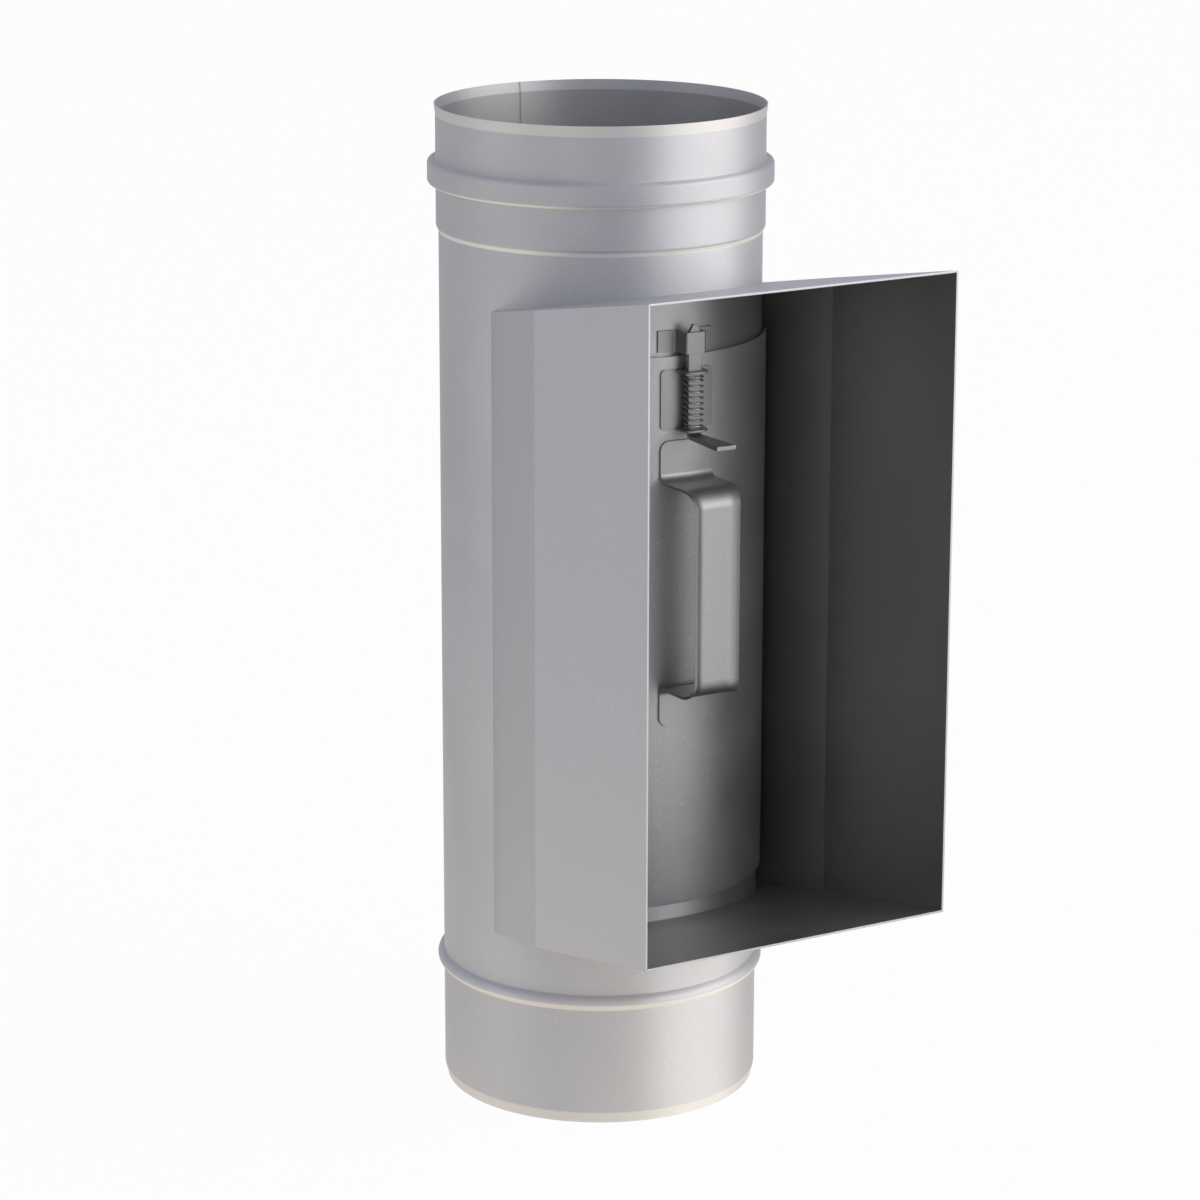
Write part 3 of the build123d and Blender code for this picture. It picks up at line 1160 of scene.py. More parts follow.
@dataclass
class AccessBox:
    """The sheet box that leads from the wall's face to the cover."""

    tube_radius: float = 75.6
    sheet: float = 1.0
    half_width: float = 79.7
    depth: float = 175.7
    bend_depth: float = 77.6
    contact_angle: float = 71.7
    floor_at_tube: float = 42.1
    height: float = 298.5
    slope_deg: float = 11.0
    fold: float = 1.6
    plate_columns: int = 40

    def height_at(self, y: float, at_tube: float) -> float:
        """The height of a sloping plane at a depth.

        Args:
            y: The place along Y.
            at_tube: The plane's height where it crosses the tube's front.

        Returns:
            The height there.
        """
        return at_tube - math.tan(math.radians(self.slope_deg)) * (y + self.tube_radius)

    def _contact(self) -> Vector:
        """The point in plan where the right wall's outer skin meets the tube."""
        angle = math.radians(self.contact_angle)
        return Vector((self.tube_radius * math.sin(angle), -self.tube_radius * math.cos(angle)))

    def _wall_line(self) -> SheetLine:
        """Draws the right wall in plan.

        Returns:
            The line of its outer skin, from the front edge back to the tube.
        """
        contact = self._contact()
        return SheetLine().run(
            [
                Corner(self.half_width, -self.depth),
                Corner(self.half_width, -self.bend_depth, self.fold),
                Corner(contact.x, contact.y),
            ],
            Growth.LEFT,
            3.0,
        )

    def wall(self, name: str, side: float, wardrobe: Wardrobe, node: str) -> bpy.types.Object:
        """Builds one side wall.

        Args:
            name: The piece's name.
            side: 1 for the right wall, -1 for the left.
            wardrobe: The finishes.
            node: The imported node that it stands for.

        Returns:
            The wall.
        """
        roof = self.floor_at_tube + self.height
        pairs = self._wall_line().skins(self.sheet)
        outer_end, inner_end = pairs[-1]
        facet = (pairs[-2][0] - outer_end).normalized()
        reach = inner_end.dot(facet)
        spare = reach**2 - inner_end.length_squared + self.tube_radius**2
        inner_end = inner_end + facet * (math.sqrt(max(0.0, spare)) - reach)
        pairs[-1] = (outer_end, inner_end)

        def upright(point: Vector) -> list[Vector]:
            """The wall's lowest and highest point over a place in plan.

            Args:
                point: The place on the right wall.

            Returns:
                The two points.
            """
            return [
                Vector((side * point.x, point.y, self.height_at(point.y, self.floor_at_tube))),
                Vector((side * point.x, point.y, self.height_at(point.y, roof))),
            ]

        stations = [Station(upright(outer), upright(inner)) for outer, inner in pairs]
        wall = MeshWork.strip(name, stations)
        MeshWork.soften(wall, CUT_EDGE)
        return wardrobe.dress(wall, Coat.WALL, Body.FLUE, node)

    def plate(
        self, name: str, lower_at_tube: float, wardrobe: Wardrobe, node: str
    ) -> bpy.types.Object:
        """Builds the roof or the floor between the two walls.

        Args:
            name: The piece's name.
            lower_at_tube: The height of its lower skin at the tube's front.
            wardrobe: The finishes.
            node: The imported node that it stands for.

        Returns:
            The plate.
        """
        inner = [b for _, b in self._wall_line().skins(self.sheet)]
        side_x = self.half_width - self.sheet
        front = -self.depth
        facet_a, facet_b = inner[-2], inner[-1]
        slope = (facet_b.x - facet_a.x) / (facet_b.y - facet_a.y)
        upper_at_tube = lower_at_tube + self.sheet / math.cos(math.radians(self.slope_deg))

        def back_edge(x: float) -> float:
            """The plate's back edge in plan: the tube's curve, then the wall's facet.

            Args:
                x: The distance from the middle.

            Returns:
                The edge's place along Y.
            """
            on_facet = facet_a.y + (x - facet_a.x) / slope
            on_tube = -math.sqrt(self.tube_radius**2 - x * x) if x < self.tube_radius else 0.0
            return min(on_facet, on_tube) if x < facet_a.x else on_facet

        steps = self.plate_columns
        xs = [side_x * math.sin(math.pi / 2 * k / steps) for k in range(steps + 1)]
        xs = [-x for x in reversed(xs[1:])] + xs
        stations = []
        for x in xs:
            at_wall = abs(x) > side_x - 1e-6
            rear = min(back_edge(abs(x)), 0.01 - self.bend_depth if at_wall else 0.0)
            upper = [Vector((x, y, self.height_at(y, upper_at_tube))) for y in (front, rear)]
            lower = [Vector((x, y, self.height_at(y, lower_at_tube))) for y in (front, rear)]
            stations.append(Station(upper, lower))
        plate = MeshWork.strip(name, stations)
        MeshWork.soften(plate, CUT_EDGE)
        return wardrobe.dress(plate, Coat.PLATE, Body.FLUE, node)

    def build(self, wardrobe: Wardrobe) -> None:
        """Builds the two walls, the roof and the floor.

        Args:
            wardrobe: The finishes.
        """
        self.wall("box_wall_right", 1.0, wardrobe, "box_right_wall")
        self.wall("box_wall_left", -1.0, wardrobe, "box_left_wall")
        upright_sheet = self.sheet / math.cos(math.radians(self.slope_deg))
        roof = self.floor_at_tube + self.height - upright_sheet
        self.plate("box_roof", roof, wardrobe, "box_top_plate")
        self.plate("box_floor", self.floor_at_tube, wardrobe, "box_bottom_plate")


@dataclass
class InspectionCover:
    """The curved cover with its gasket and the two hooks behind its lower edge."""

    tube_radius: float = 75.6
    bore: float = 75.0
    bottom: float = 50.8
    height: float = 262.0
    half_angle: float = 64.0
    thickness: float = 0.8
    corner: float = 9.0
    gasket: float = 1.2
    gasket_inset: float = 1.0
    overlap: float = 12.0
    opening_corner: float = 8.0
    hook_sheet: float = 1.2
    hook_angle: float = 28.0
    hook_half_width: float = 6.0
    hook_clearance: float = 0.4
    hook_heights: tuple[float, float, float, float] = (19.6, 4.6, 2.2, -8.0)
    hook_bend: float = 1.6
    hook_edge: float = 0.15

    @property
    def top(self) -> float:
        """The height of the cover's top edge."""
        return self.bottom + self.height

    @property
    def inner(self) -> float:
        """The radius of the cover's inner skin."""
        return self.tube_radius + self.gasket

    @property
    def outer(self) -> float:
        """The radius of the cover's outer skin."""
        return self.inner + self.thickness

    def opening(self, inner: float, thickness: float, grow: float = 0.0) -> PlateShape:
        """The opening under the cover as a plate that cuts it.

        Args:
            inner: The inner radius of the cutting plate.
            thickness: Its thickness.
            grow: How far it lies outside the opening's edge.

        Returns:
            The shape.
        """
        half_angle = self.half_angle - math.degrees((self.overlap - grow) / self.tube_radius)
        return PlateShape(
            inner,
            thickness,
            half_angle,
            self.bottom + self.overlap - grow,
            self.top - self.overlap + grow,
            self.opening_corner + grow,
        )

    def _hook(self, name: str, middle: float, wardrobe: Wardrobe, node: str) -> bpy.types.Object:
        """Builds one hook: a jogged strip from the cover to behind the tube's wall.

        Args:
            name: The piece's name.
            middle: The angle of its middle, in degrees.
            wardrobe: The finishes.
            node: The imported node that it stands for.

        Returns:
            The hook.
        """
        leg = self.bore - self.hook_clearance
        top, jog_top, jog_bottom, end = (self.bottom + self.overlap + h for h in self.hook_heights)
        line = SheetLine().run(
            [
                Corner(self.inner, top),
                Corner(self.inner, jog_top, self.hook_bend),
                Corner(leg, jog_bottom, self.hook_bend),
                Corner(leg, end),
            ],
            Growth.RIGHT,
        )
        half = math.degrees(self.hook_half_width / self.inner)
        angles = [middle + half * (k / 3 - 1) for k in range(7)]
        stations = [
            Station([polar(a.x, w, a.y) for w in angles], [polar(b.x, w, b.y) for w in angles])
            for a, b in line.skins(self.hook_sheet)
        ]
        hook = MeshWork.strip(name, stations)
        MeshWork.soften(hook, self.hook_edge)
        return wardrobe.dress(hook, Coat.LATCH, Body.FLUE, node)

    def build(self, wardrobe: Wardrobe) -> None:
        """Builds the cover, the gasket and the hooks.

        Args:
            wardrobe: The finishes.
        """
        cover = PlateShape(
            self.inner, self.thickness, self.half_angle, self.bottom, self.top, self.corner
        )
        sheet = cover.build("cover_skin")
        MeshWork.soften(sheet, CUT_EDGE)
        wardrobe.dress(sheet, Coat.COVER, Body.FLUE, "cover_sheet")
        inset = self.gasket_inset
        ring = PlateShape(
            self.tube_radius,
            self.gasket,
            self.half_angle - math.degrees(inset / self.tube_radius),
            self.bottom + inset,
            self.top - inset,
            self.corner - inset,
        ).build("cover_seal")
        reach = self.gasket + 2 * CUTTER_MARGIN
        hole = self.opening(self.tube_radius - CUTTER_MARGIN, reach, inset)
        MeshWork.cut(ring, hole.build("seal_cutter"))
        MeshWork.soften(ring, 0.0)
        wardrobe.dress(ring, Coat.GASKET, Body.FLUE, "cover_gasket")
        self._hook("hook_left", -90 - self.hook_angle, wardrobe, "cover_hook_left")
        self._hook("hook_right", -90 + self.hook_angle, wardrobe, "cover_hook_right")


@dataclass
class SpringLatch:
    """The sprung bolt with its bracket on the cover and its keeper on the tube."""

    tube_radius: float = 75.6
    cover_outer: float = 77.6
    cover_top: float = 312.8
    bracket_half_width: float = 13.5
    bracket_sheet: float = 1.0
    bracket_corner: float = 2.0
    bracket_below: float = 6.0
    ear_spacing: float = 28.0
    ear_width: float = 13.0
    ear_corner: float = 5.0
    ear_margin: float = 0.8
    ear_seat: float = 0.02
    bolt_thickness: float = 2.0
    bolt_width: float = 6.5
    tab_width: float = 10.1
    tip_width: float = 1.6
    tip_height: float = 4.2
    tip_reach: float = 3.4
    tab_reach: float = 28.5
    bolt_bend: float = 1.4
    shoulder_width: float = 8.8
    shoulder_height: float = 1.0
    shoulder_gap: float = 0.3
    slide_clearance: float = 0.15
    stop_clearance: float = 0.3
    spring_wire: float = 0.9
    spring_mean: float = 4.2
    spring_gap: float = 0.2
    spring_turns: float = 10.0
    spring_closed: float = 0.8
    spring_closed_pitch: float = 1.05
    spring_flats: int = 30
    spring_ease: tuple[float, ...] = (-0.08, -0.04, 0.0, 0.04, 0.08)
    spring_end_deg: float = -113.0
    travel: float = 14.0
    keeper_sheet: float = 1.0
    keeper_height: float = 10.0
    keeper_above: float = 1.8
    keeper_half_width: float = 14.0
    keeper_bridge: float = 5.45
    keeper_clearance: float = 0.25
    keeper_bend: float = 1.4
    keeper_root_bend: float = 0.7
    keeper_root_share: float = 1.25

    @property
    def plane(self) -> float:
        """The distance of the bolt's middle plane in front of the axis."""
        spring_outer = self.spring_mean + self.spring_wire / 2
        return self.cover_outer + self.bracket_sheet + self.spring_gap + spring_outer

    @property
    def bolt_front(self) -> float:
        """The distance of the bolt's front skin in front of the axis."""
        return self.plane + self.bolt_thickness / 2

    @property
    def bracket_top(self) -> float:
        """The height of the upper ear's upper face."""
        return self.cover_top - self.bracket_below

    @property
    def bracket_bottom(self) -> float:
        """The height of the lower ear's lower face."""
        return self.bracket_top - self.ear_spacing

    @property
    def shoulder_top(self) -> float:
        """The height of the upper edge of the bolt's shoulders."""
        return self.bracket_top - self.bracket_sheet - self.shoulder_gap

    @property
    def keeper_bottom(self) -> float:
        """The height of the keeper's lower edge."""
        return self.cover_top + self.keeper_above

    @property
    def spring_span(self) -> tuple[float, float]:
        """The heights of the spring's two ends."""
        return self.bracket_bottom + self.bracket_sheet, self.shoulder_top - self.shoulder_height

    def _ear(self, bottom: float) -> tuple[list[Vector], list[tuple[int, ...]]]:
        """Draws one ear with its slot.

        Args:
            bottom: The height of its lower face.

        Returns:
            Its points and its faces.
        """
        half, slot = self.ear_width / 2, self.bolt_width / 2 + self.slide_clearance
        reach = self.bolt_thickness / 2 + self.slide_clearance
        front = self.plane + self.spring_mean + self.spring_wire / 2 + self.ear_margin
        root, corner = self.cover_outer + self.ear_seat, self.ear_corner
        root_deg = math.degrees(math.asin(half / root))
        side = [polar(root, -90 - root_deg, 0).xy]
        for k in range(10):
            turn = math.pi / 2 * k / 9
            rounded = Vector((1 - math.cos(turn), 1 - math.sin(turn))) * corner
            side.append(Vector((-half, -front)) + rounded)
        outline = side + [Vector((-p.x, p.y)) for p in reversed(side)]
        outline += [polar(root, -90 + root_deg * (1 - k / 4), 0).xy for k in range(1, 8)]
        hole = [
            Vector((-slot, -self.plane + reach)),
            Vector((-slot, -self.plane - reach)),
            Vector((slot, -self.plane - reach)),
            Vector((slot, -self.plane + reach)),
        ]
        count, size, holes = len(side), len(outline), len(hole)
        points, faces = [], []
        for z in (bottom, bottom + self.bracket_sheet):
            points.extend(Vector((p.x, p.y, z)) for p in outline + hole)
        layer = size + holes
        left = list(range(count)) + [size + 1, size]
        front_strip = [count - 1, count, size + 2, size + 1]
        right = list(range(count, 2 * count)) + [size + 3, size + 2]
        rear = list(range(2 * count - 1, size)) + [0, size, size + 3]
        for ring in (left, front_strip, right, rear):
            faces.append(tuple(ring))
            faces.append(tuple(i + layer for i in reversed(ring)))
        for k in range(size):
            m = (k + 1) % size
            faces.append((k, k + layer, m + layer, m))
        for k in range(holes):
            m = (k + 1) % holes
            faces.append((size + k, size + m, size + m + layer, size + k + layer))
        return points, faces

    def bracket(self, wardrobe: Wardrobe) -> bpy.types.Object:
        """Builds the bracket: its base on the cover and its two slotted ears.

        Args:
            wardrobe: The finishes.

        Returns:
            The bracket.
        """
        base = PlateShape(
            self.cover_outer,
            self.bracket_sheet,
            math.degrees(self.bracket_half_width / self.cover_outer),
            self.bracket_bottom,
            self.bracket_top,
            self.bracket_corner,
        ).build("bracket_base")
        MeshWork.soften(base, CUT_EDGE)
        parts = [base]
        upper = self.bracket_top - self.bracket_sheet
        for name, bottom in (("ear_lower", self.bracket_bottom), ("ear_upper", upper)):
            points, faces = self._ear(bottom)
            ear = MeshWork.solid(name, points, faces)
            MeshWork.soften(ear, CUT_EDGE)
            parts.append(ear)
        joined = MeshWork.join("latch_frame", parts)
        return wardrobe.dress(joined, Coat.LATCH, Body.FLUE, "latch_bracket")

    def _bolt_side(self) -> list[tuple[float, float]]:
        """Draws the bolt's right edge in front view.

        Returns:
            Its corners from the tip to the bend, as (x, height).
        """
        tip_top = self.keeper_bottom + self.keeper_height + self.tip_reach
        half, shoulder = self.bolt_width / 2, self.shoulder_width / 2
        return [
            (self.tip_width / 2, tip_top),
            (half, tip_top - self.tip_height),
            (half, self.shoulder_top),
            (shoulder, self.shoulder_top),
            (shoulder, self.shoulder_top - self.shoulder_height),
            (half, self.shoulder_top - self.shoulder_height),
        ]

    def _bolt_half(self, y: float) -> float:
        """Half the bolt's width at a depth: it widens along the tab."""
        share = (-y - self.bolt_front) / (self.plane + self.tab_reach - self.bolt_front)
        return (self.bolt_width + (self.tab_width - self.bolt_width) * max(share, 0.0)) / 2

    def bolt(self, wardrobe: Wardrobe) -> bpy.types.Object:
        """Builds the bolt: a strip with shoulders, bent forwards into its widening tab.

        Args:
            wardrobe: The finishes.

        Returns:
            The bolt.
        """
        front, back = -self.bolt_front, self.bolt_thickness - self.bolt_front
        bend_top = self.bracket_bottom - self.stop_clearance
        line = SheetLine().run(
            [
                Corner(front, bend_top),
                Corner(front, bend_top - self.bolt_bend, self.bolt_bend),
                Corner(-self.plane - self.tab_reach, bend_top - self.bolt_bend),
            ],
            Growth.LEFT,
            11.0,
        )
        skins = line.skins(self.bolt_thickness)
        chains: dict[tuple[int, str], list[int]] = {}
        points: list[Vector] = []
        for side in (1, -1):
            for skin, depth, pick in (("front", front, 0), ("back", back, 1)):
                chain = [Vector((side * x, depth, z)) for x, z in self._bolt_side()]
                tab = [pair[pick] for pair in skins]
                chain += [Vector((side * self._bolt_half(p.x), p.x, p.y)) for p in tab]
                chains[side, skin] = list(range(len(points), len(points) + len(chain)))
                points.extend(chain)
        fr, fl = chains[1, "front"], chains[-1, "front"]
        br, bl = chains[1, "back"], chains[-1, "back"]
        flat = len(self._bolt_side()) + 1
        faces: list[tuple[int, ...]] = [
            tuple(fr[:flat] + fl[:flat][::-1]),
            tuple((br[:flat] + bl[:flat][::-1])[::-1]),
            (fr[0], fl[0], bl[0], br[0]),
            (fl[-1], fr[-1], br[-1], bl[-1]),
        ]
        for i in range(len(fr) - 1):
            faces.append((fr[i + 1], fr[i], br[i], br[i + 1]))
            faces.append((fl[i], fl[i + 1], bl[i + 1], bl[i]))
            if i >= flat - 1:
                faces.append((fl[i], fr[i], fr[i + 1], fl[i + 1]))
                faces.append((br[i], bl[i], bl[i + 1], br[i + 1]))
        bolt = MeshWork.solid("latch_bolt_strip", points, faces)
        MeshWork.soften(bolt, CUT_EDGE)
        return wardrobe.dress(bolt, Coat.LATCH, Body.BOLT, "latch_bolt")

    def spring(self, wardrobe: Wardrobe) -> bpy.types.Object:
        """Builds the left-handed coil spring with a closed turn at each end.

        Args:
            wardrobe: The finishes.

        Returns:
            The spring.
        """
        low, high = self.spring_span
        radius, closed = self.spring_wire / 2, self.spring_closed
        start, end = low + radius, high - radius
        dead_rise = self.spring_wire * self.spring_closed_pitch * closed
        live = self.spring_turns - 2 * closed
        live_rise = end - start - 2 * dead_rise

        def rise(turn: float) -> float:
            """The rise of the wire.

            Args:
                turn: The number of turns from its lower end.

            Returns:
                The height above that end.
            """
            if turn <= closed:
                return dead_rise * turn / closed
            if turn >= closed + live:
                return dead_rise + live_rise + dead_rise * (turn - closed - live) / closed
            return dead_rise + live_rise * (turn - closed) / live

        steps = int(self.spring_turns * self.spring_flats)
        centres = []
        for k in range(steps + 1):
            turn = self.spring_turns * k / steps
            near = [min(max(turn + d, 0.0), self.spring_turns) for d in self.spring_ease]
            soft = sum(map(rise, near)) / len(near)
            angle = self.spring_end_deg + 360 * (self.spring_turns - turn)
            ray = polar(self.spring_mean, angle, start + soft)
            centres.append(ray + Vector((0, -self.plane, 0)))
        spring = MeshWork.wire("latch_coil", centres, radius, 12)
        MeshWork.soften(spring, 0.0)
        wardrobe.dress(spring, Coat.SPRING, Body.FLUE, "latch_spring")
        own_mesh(spring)
        return spring

    def keeper(self, wardrobe: Wardrobe) -> bpy.types.Object:
        """Builds the keeper: a strap bent out over the bolt's tip.

        Args:
            wardrobe: The finishes.

        Returns:
            The keeper.
        """
        front = self.bolt_front + self.keeper_clearance + self.keeper_sheet
        skin = self.tube_radius + self.keeper_sheet
        edge_angle = self.keeper_half_width / self.tube_radius
        bridge_angle = math.asin(self.keeper_bridge / skin)
        swing = bridge_angle * self.keeper_root_share - edge_angle
        angles = [edge_angle + swing * k / 6 for k in range(7)]
        flange = [Vector((-skin * math.sin(a), -skin * math.cos(a))) for a in angles]
        root = Vector((-self.keeper_bridge, -skin * math.cos(bridge_angle)))
        corners = [Corner(p.x, p.y) for p in flange] + [
            Corner(root.x, root.y, self.keeper_root_bend),
            Corner(-self.keeper_bridge, -front, self.keeper_bend),
        ]
        corners += [Corner(-c.x, c.y, c.radius) for c in reversed(corners)]
        line = SheetLine().run(corners, Growth.LEFT, 15.0)
        ends = (self.keeper_bottom, self.keeper_bottom + self.keeper_height)
        stations = [
            Station([Vector((*a, z)) for z in ends], [Vector((*b, z)) for z in ends])
            for a, b in line.skins(self.keeper_sheet)
        ]
        keeper = MeshWork.strip("keeper_bridge", stations)
        MeshWork.soften(keeper, CUT_EDGE)
        return wardrobe.dress(keeper, Coat.LATCH, Body.FLUE, "keeper_strap")

    def build(self, wardrobe: Wardrobe) -> None:
        """Builds the four pieces of the latch.

        Args:
            wardrobe: The finishes.
        """
        self.keeper(wardrobe)
        self.bracket(wardrobe)
        self.bolt(wardrobe)
        self.spring(wardrobe)


@dataclass(frozen=True)
class StrapPlace:
    """A place along the handle's strap and the state of its section there.

    The crest and the way into the sheet are in side view as (y, z). The roll goes from 0 on the
    flat arm to 1 on the grip, the wrap from 1 on the cover's curve to 0 on the flat, and the
    inset is what a rounded corner takes off each side.
    """

    crest: Vector
    inward: Vector
    roll: float = 0.0
    wrap: float = 0.0
    inset: float = 0.0

    def mirrored(self, middle: float) -> "StrapPlace":
        """Mirrors the place.

        Args:
            middle: The height to mirror it about.

        Returns:
            The place on the other side of that height.
        """
        crest = Vector((self.crest.x, 2 * middle - self.crest.y))
        inward = Vector((self.inward.x, -self.inward.y))
        return StrapPlace(crest, inward, self.roll, self.wrap, self.inset)


@dataclass
class CarryHandle:
    """The pressed strap handle: flat feet and arms, and a grip with its edges rolled forwards."""

    cover_outer: float = 77.6
    sheet: float = 1.2
    top: float = 255.3
    span: float = 98.4
    standoff: float = 26.5
    half_width: float = 13.7
    bend: float = 9.0
    root_bend: float = 3.6
    flat_half: float = 6.5
    roll_length: float = 5.4
    roll_angle: float = 54.0
    crown: float = 1.0
    foot_height: float = 18.5
    foot_corner: float = 4.5

    @property
    def skin(self) -> float:
        """The distance of the feet's outer skin from the axis."""
        return self.cover_outer + self.sheet

    def _upper_half(self) -> list[StrapPlace]:
        """Lists the places along the strap's upper half.

        Returns:
            The places from the upper foot's end to near the middle of the grip.
        """
        front, root, bend = self.cover_outer + self.standoff, self.root_bend, self.bend
        into_cover = Vector((1.0, 0.0))
        places = []
        for k in range(10):
            turn = math.pi / 2 * k / 9
            down = self.foot_corner * (1 - math.cos(turn))
            crest = Vector((-self.skin, self.top + self.foot_height - down))
            inset = self.foot_corner * (1 - math.sin(turn))
            places.append(StrapPlace(crest, into_cover, wrap=1.0, inset=inset))
        for k in range(9):
            turn = math.pi / 2 * k / 8
            ray = Vector((math.cos(turn), -math.sin(turn)))
            crest = Vector((-self.skin - root, self.top + root)) + ray * root
            places.append(StrapPlace(crest, ray, wrap=1.0))
        arm_start, arm_end = self.skin + root, front - bend
        for k in range(1, 8):
            share = k / 8
            crest = Vector((-arm_start - (arm_end - arm_start) * share, self.top))
            places.append(StrapPlace(crest, Vector((0.0, -1.0)), wrap=1 - share))
        for k in range(19):
            turn = math.pi / 2 * k / 18
            ray = Vector((-math.sin(turn), math.cos(turn)))
            crest = Vector((bend - front, self.top - bend)) + ray * bend
            places.append(StrapPlace(crest, -ray, roll=k / 18))
        for k in range(1, 4):
            drop = (self.span / 2 - bend) * k / 3
            crest = Vector((-front, self.top - bend - drop))
            places.append(StrapPlace(crest, into_cover, roll=1.0))
        return places

    def _station(self, place: StrapPlace) -> Station:
        """The strap's cross-section at a place.

        Args:
            place: The place.

        Returns:
            The points of its front and back skins.
        """
        ease = place.roll**2 * (3 - 2 * place.roll)
        arm_edge = self.half_width - self.flat_half
        length = arm_edge + (self.roll_length - arm_edge) * ease
        angle = math.radians(self.crown + (self.roll_angle - self.crown) * ease)
        radius = length / angle
        scale = 1 - place.inset / self.half_width
        columns = [(self.flat_half * k / 3, 0.0) for k in range(4)]
        columns += [(self.flat_half, angle * k / 8) for k in range(1, 9)]
        columns = [(-x, -turn) for x, turn in reversed(columns[1:])] + columns
        front, back = [], []
        for flat, turn in columns:
            x = (flat + radius * math.sin(turn)) * scale
            lift = radius * (1 - math.cos(turn))
            behind = x + self.sheet * math.sin(turn)
            sink = lift - self.sheet * math.cos(turn)
            wrap = (self.skin - math.sqrt(self.skin**2 - x * x)) * place.wrap
            near, far = place.crest - place.inward * lift, place.crest - place.inward * sink
            front.append(Vector((x, near.x + wrap, near.y)))
            back.append(Vector((behind, far.x + wrap, far.y)))
        return Station(front, back)

    def build(self, wardrobe: Wardrobe) -> bpy.types.Object:
        """Sweeps the strap with a section that changes from the feet to the grip.

        Args:
            wardrobe: The finishes.

        Returns:
            The handle.
        """
        upper = self._upper_half()
        middle = self.top - self.span / 2
        places = upper + [place.mirrored(middle) for place in reversed(upper[:-1])]
        handle = MeshWork.strip("carry_handle_strip", [self._station(place) for place in places])
        MeshWork.soften(handle, CUT_EDGE)
        return wardrobe.dress(handle, Coat.HANDLE, Body.FLUE, "carry_handle")


Stop = tuple[float, Colour]


def grade(ramp: bpy.types.Node, stops: tuple[Stop, ...]) -> None:
    """Sets the stops of a colour ramp.

    Args:
        ramp: The ramp node, fresh, with its two stops.
        stops: Places from 0 to 1 with their colours, in rising order.
    """
    elements = ramp.color_ramp.elements
    for stop, element in ((stops[0], elements[0]), (stops[-1], elements[1])):
        element.position = stop[0]
        element.color = (*stop[1], 1.0)
    for position, colour in stops[1:-1]:
        elements.new(position).color = (*colour, 1.0)


@dataclass(frozen=True)
class SoftBox:
    """A soft studio lamp, placed in metres, with its power in watts."""

    name: str
    place: tuple[float, float, float]
    aim: tuple[float, float, float]
    size: tuple[float, float]
    power: float
    colour: Colour = (1.0, 1.0, 1.0)

    def build(self) -> bpy.types.Object:
        """Hangs the lamp.

        Returns:
            The lamp.
        """
        data = bpy.data.lights.new(self.name, "AREA")
        data.shape = "RECTANGLE"
        data.size, data.size_y = self.size
        data.energy = self.power
        data.color = self.colour
        lamp = bpy.data.objects.new(self.name, data)
        bpy.context.scene.collection.objects.link(lamp)
        lamp.location = self.place
        ahead = Vector(self.aim) - Vector(self.place)
        lamp.rotation_euler = ahead.to_track_quat("-Z", "Y").to_euler()
        return lamp


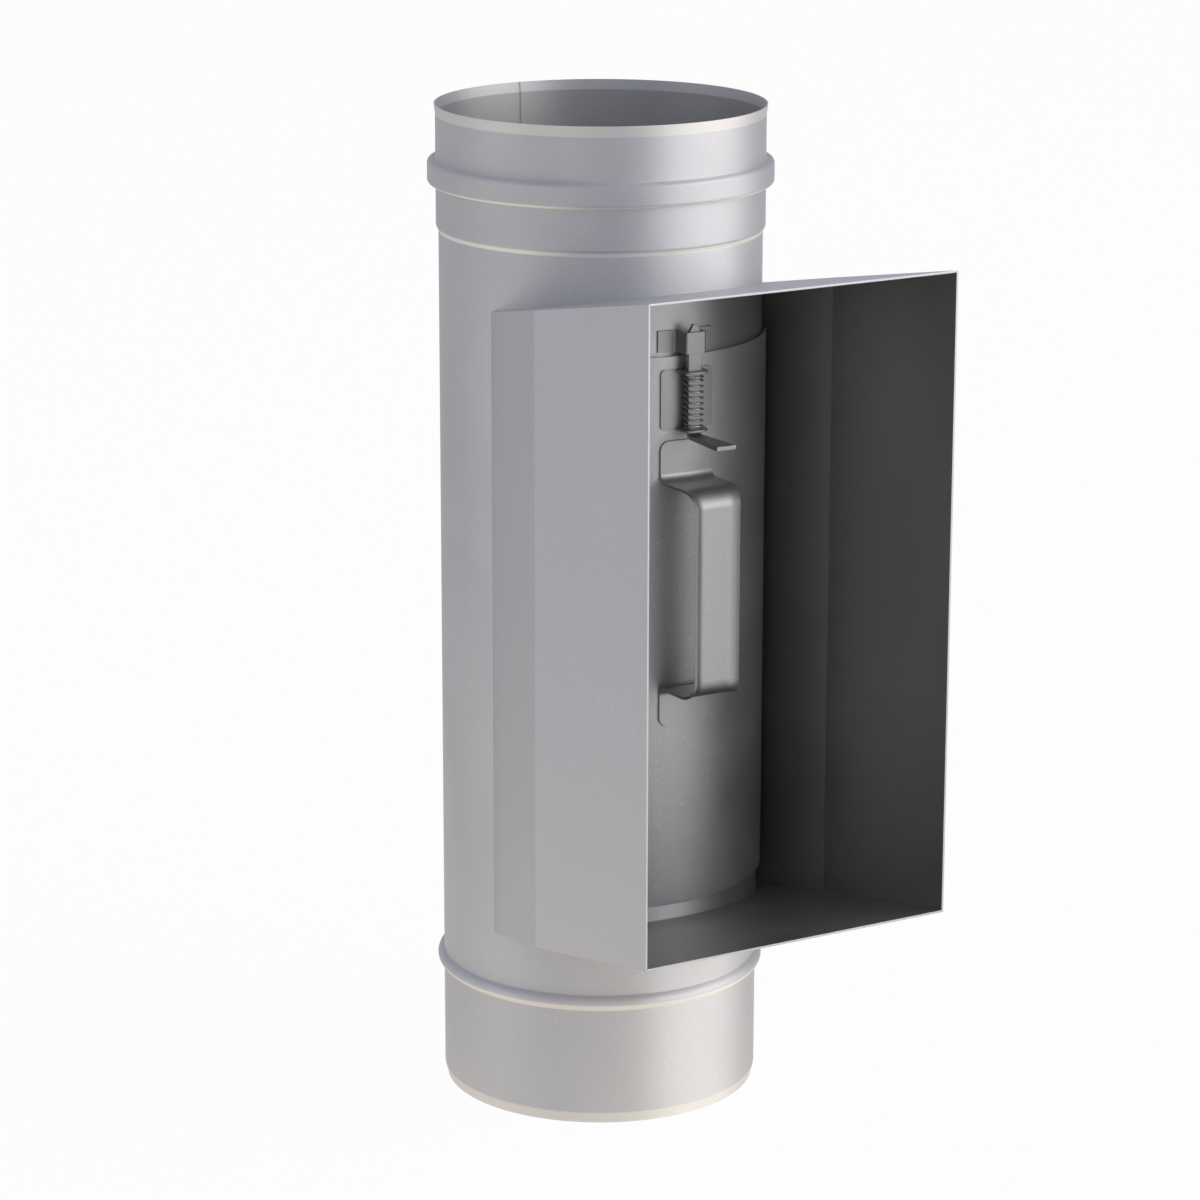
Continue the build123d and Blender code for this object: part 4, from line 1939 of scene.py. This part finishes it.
@dataclass
class Studio:
    """The pale floor, the surrounding light and the camera."""

    floor_height: float = -57.2
    floor_gap: float = 0.05
    floor_half: float = 30000.0
    floor_colour: Colour = (0.86, 0.855, 0.84)
    floor_roughness: float = 0.9
    floor_white: float = 0.965
    paper_reach_m: float = 2.0
    lens: float = 125.23
    eye: tuple[float, float, float] = (-974.4, -1659.8, 694.05)
    right: tuple[float, float, float] = (0.8626, -0.5059, 0.0015)
    up: tuple[float, float, float] = (0.1294, 0.2234, 0.9661)
    paper: tuple[Stop, ...] = (
        (0.0, (0.95, 0.905, 0.825)),
        (0.12, (0.89, 0.855, 0.8)),
        (0.25, (0.76, 0.745, 0.725)),
        (0.48, (0.68, 0.672, 0.682)),
        (1.0, (0.64, 0.643, 0.672)),
    )
    air: tuple[Stop, ...] = (
        (0.5, (0.64, 0.643, 0.672)),
        (0.65, (0.56, 0.58, 0.645)),
        (1.0, (0.3, 0.34, 0.46)),
    )
    lamps: tuple[SoftBox, ...] = (
        SoftBox("key", (3.65, -3.85, 1.55), (0.0, 0.0, 0.3), (7.8, 3.1), 205.0, (1.0, 0.99, 0.97)),
        SoftBox("front", (-2.5, -4.1, 1.3), (0.0, 0.0, 0.3), (3.6, 2.4), 9.0, (1.0, 0.99, 0.97)),
        SoftBox("fill", (-1.7, 0.35, 0.5), (0.0, 0.0, 0.2), (1.2, 1.4), 1.5, (0.97, 0.98, 1.0)),
    )

    def camera(self) -> bpy.types.Object:
        """Sets the camera up at the photograph's viewing angle.

        Returns:
            The camera.
        """
        data = bpy.data.cameras.new("camera")
        data.lens = self.lens
        data.sensor_width = 36.0
        data.clip_end = 100.0
        cam = bpy.data.objects.new("camera", data)
        bpy.context.scene.collection.objects.link(cam)
        right = Vector(self.right).normalized()
        up = Vector(self.up)
        up = (up - right * up.dot(right)).normalized()
        back = right.cross(up)
        turn = Matrix((right, up, back)).transposed().to_4x4()
        cam.matrix_world = Matrix.Translation(metres(self.eye)) @ turn
        bpy.context.scene.camera = cam
        return cam

    def floor(self) -> bpy.types.Object:
        """Lays a pale floor that shows white and keeps a faint shadow.

        Metal mirrors it as paper that gets a little greyer away from the object.

        Returns:
            The floor.
        """
        half = self.floor_half
        corners = ((-half, -half), (half, -half), (half, half), (-half, half))
        points = [Vector((x, y, self.floor_height - self.floor_gap)) for x, y in corners]
        mesh = bpy.data.meshes.new("studio_floor")
        mesh.from_pydata([metres(p) for p in points], [], [(0, 1, 2, 3)])
        floor = bpy.data.objects.new("studio_floor", mesh)
        bpy.context.scene.collection.objects.link(floor)
        bench = NodeBench("studio_floor")
        tree = bench.tree
        bench.feed(bench.shader, "Base Color", (*self.floor_colour, 1.0))
        bench.feed(bench.shader, "Roughness", self.floor_roughness)
        flat = bench.vectors("MULTIPLY", bench.place, (1.0, 1.0, 0.0))
        reach = bench.vectors("LENGTH", flat.outputs[0]).outputs["Value"]
        fade = bench.add("ShaderNodeValToRGB")
        bench.feed(fade, 0, bench.span(reach, 0.0, self.paper_reach_m, 0.0, 1.0))
        grade(fade, self.paper)
        rays = bench.add("ShaderNodeLightPath")
        camera, passed = rays.outputs["Is Camera Ray"], rays.outputs["Is Transmission Ray"]
        mirrored = rays.outputs["Is Glossy Ray"]
        seen = bench.maths("MAXIMUM", camera, passed)
        tint = bench.blend(seen, fade.outputs[0], (1.0, 1.0, 1.0))
        glow = bench.add("ShaderNodeEmission", Strength=1.0, Color=tint)
        white = bench.maths("MULTIPLY", seen, self.floor_white)
        share = bench.maths("MAXIMUM", white, mirrored)
        mix = bench.add("ShaderNodeMixShader")
        bench.feed(mix, 0, share)
        tree.links.new(bench.shader.outputs[0], mix.inputs[1])
        tree.links.new(glow.outputs[0], mix.inputs[2])
        tree.links.new(mix.outputs[0], bench.output.inputs[0])
        mesh.materials.append(bench.material)
        return floor

    def sky(self) -> None:
        """Surrounds the object with soft light, cool above and white to the eye."""
        world = bpy.data.worlds.new("studio")
        bpy.context.scene.world = world
        world.use_nodes = True
        tree = world.node_tree
        tree.nodes.clear()
        output = tree.nodes.new("ShaderNodeOutputWorld")
        place = tree.nodes.new("ShaderNodeTexCoord")
        split = tree.nodes.new("ShaderNodeSeparateXYZ")
        ramp = tree.nodes.new("ShaderNodeValToRGB")
        grade(ramp, self.air)
        rise = tree.nodes.new("ShaderNodeMapRange")
        rise.inputs["From Min"].default_value = -1.0
        lit = tree.nodes.new("ShaderNodeBackground")
        white = tree.nodes.new("ShaderNodeBackground")
        white.inputs["Color"].default_value = (1.0, 1.0, 1.0, 1.0)
        rays = tree.nodes.new("ShaderNodeLightPath")
        mix = tree.nodes.new("ShaderNodeMixShader")
        tree.links.new(place.outputs["Generated"], split.inputs[0])
        tree.links.new(split.outputs["Z"], rise.inputs["Value"])
        tree.links.new(rise.outputs[0], ramp.inputs[0])
        tree.links.new(ramp.outputs[0], lit.inputs["Color"])
        tree.links.new(rays.outputs["Is Camera Ray"], mix.inputs[0])
        tree.links.new(lit.outputs[0], mix.inputs[1])
        tree.links.new(white.outputs[0], mix.inputs[2])
        tree.links.new(mix.outputs[0], output.inputs[0])

    def build(self) -> None:
        """Sets up the whole studio."""
        bpy.context.scene.view_settings.view_transform = "Standard"
        self.camera()
        self.floor()
        self.sky()
        for lamp in self.lamps:
            lamp.build()


def main() -> None:
    """Builds the studio and every sub-assembly in order."""
    logging.basicConfig(level=logging.INFO, format="%(name)s %(message)s")
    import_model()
    Studio().build()
    wardrobe = Wardrobe()
    tube, cover = FlueTube(), InspectionCover()
    opening = cover.opening(tube.bore - CUTTER_MARGIN, tube.wall + 2 * CUTTER_MARGIN)
    builders: list[tuple[str, Callable[[], Any]]] = [
        ("tube", lambda: tube.build(wardrobe, opening)),
        ("box", lambda: AccessBox().build(wardrobe)),
        ("cover", lambda: cover.build(wardrobe)),
        ("latch", lambda: SpringLatch().build(wardrobe)),
        ("handle", lambda: CarryHandle().build(wardrobe)),
    ]
    for name, build in builders:
        LOG.info("building %s", name)
        build()


if __name__ == "__main__":
    main()
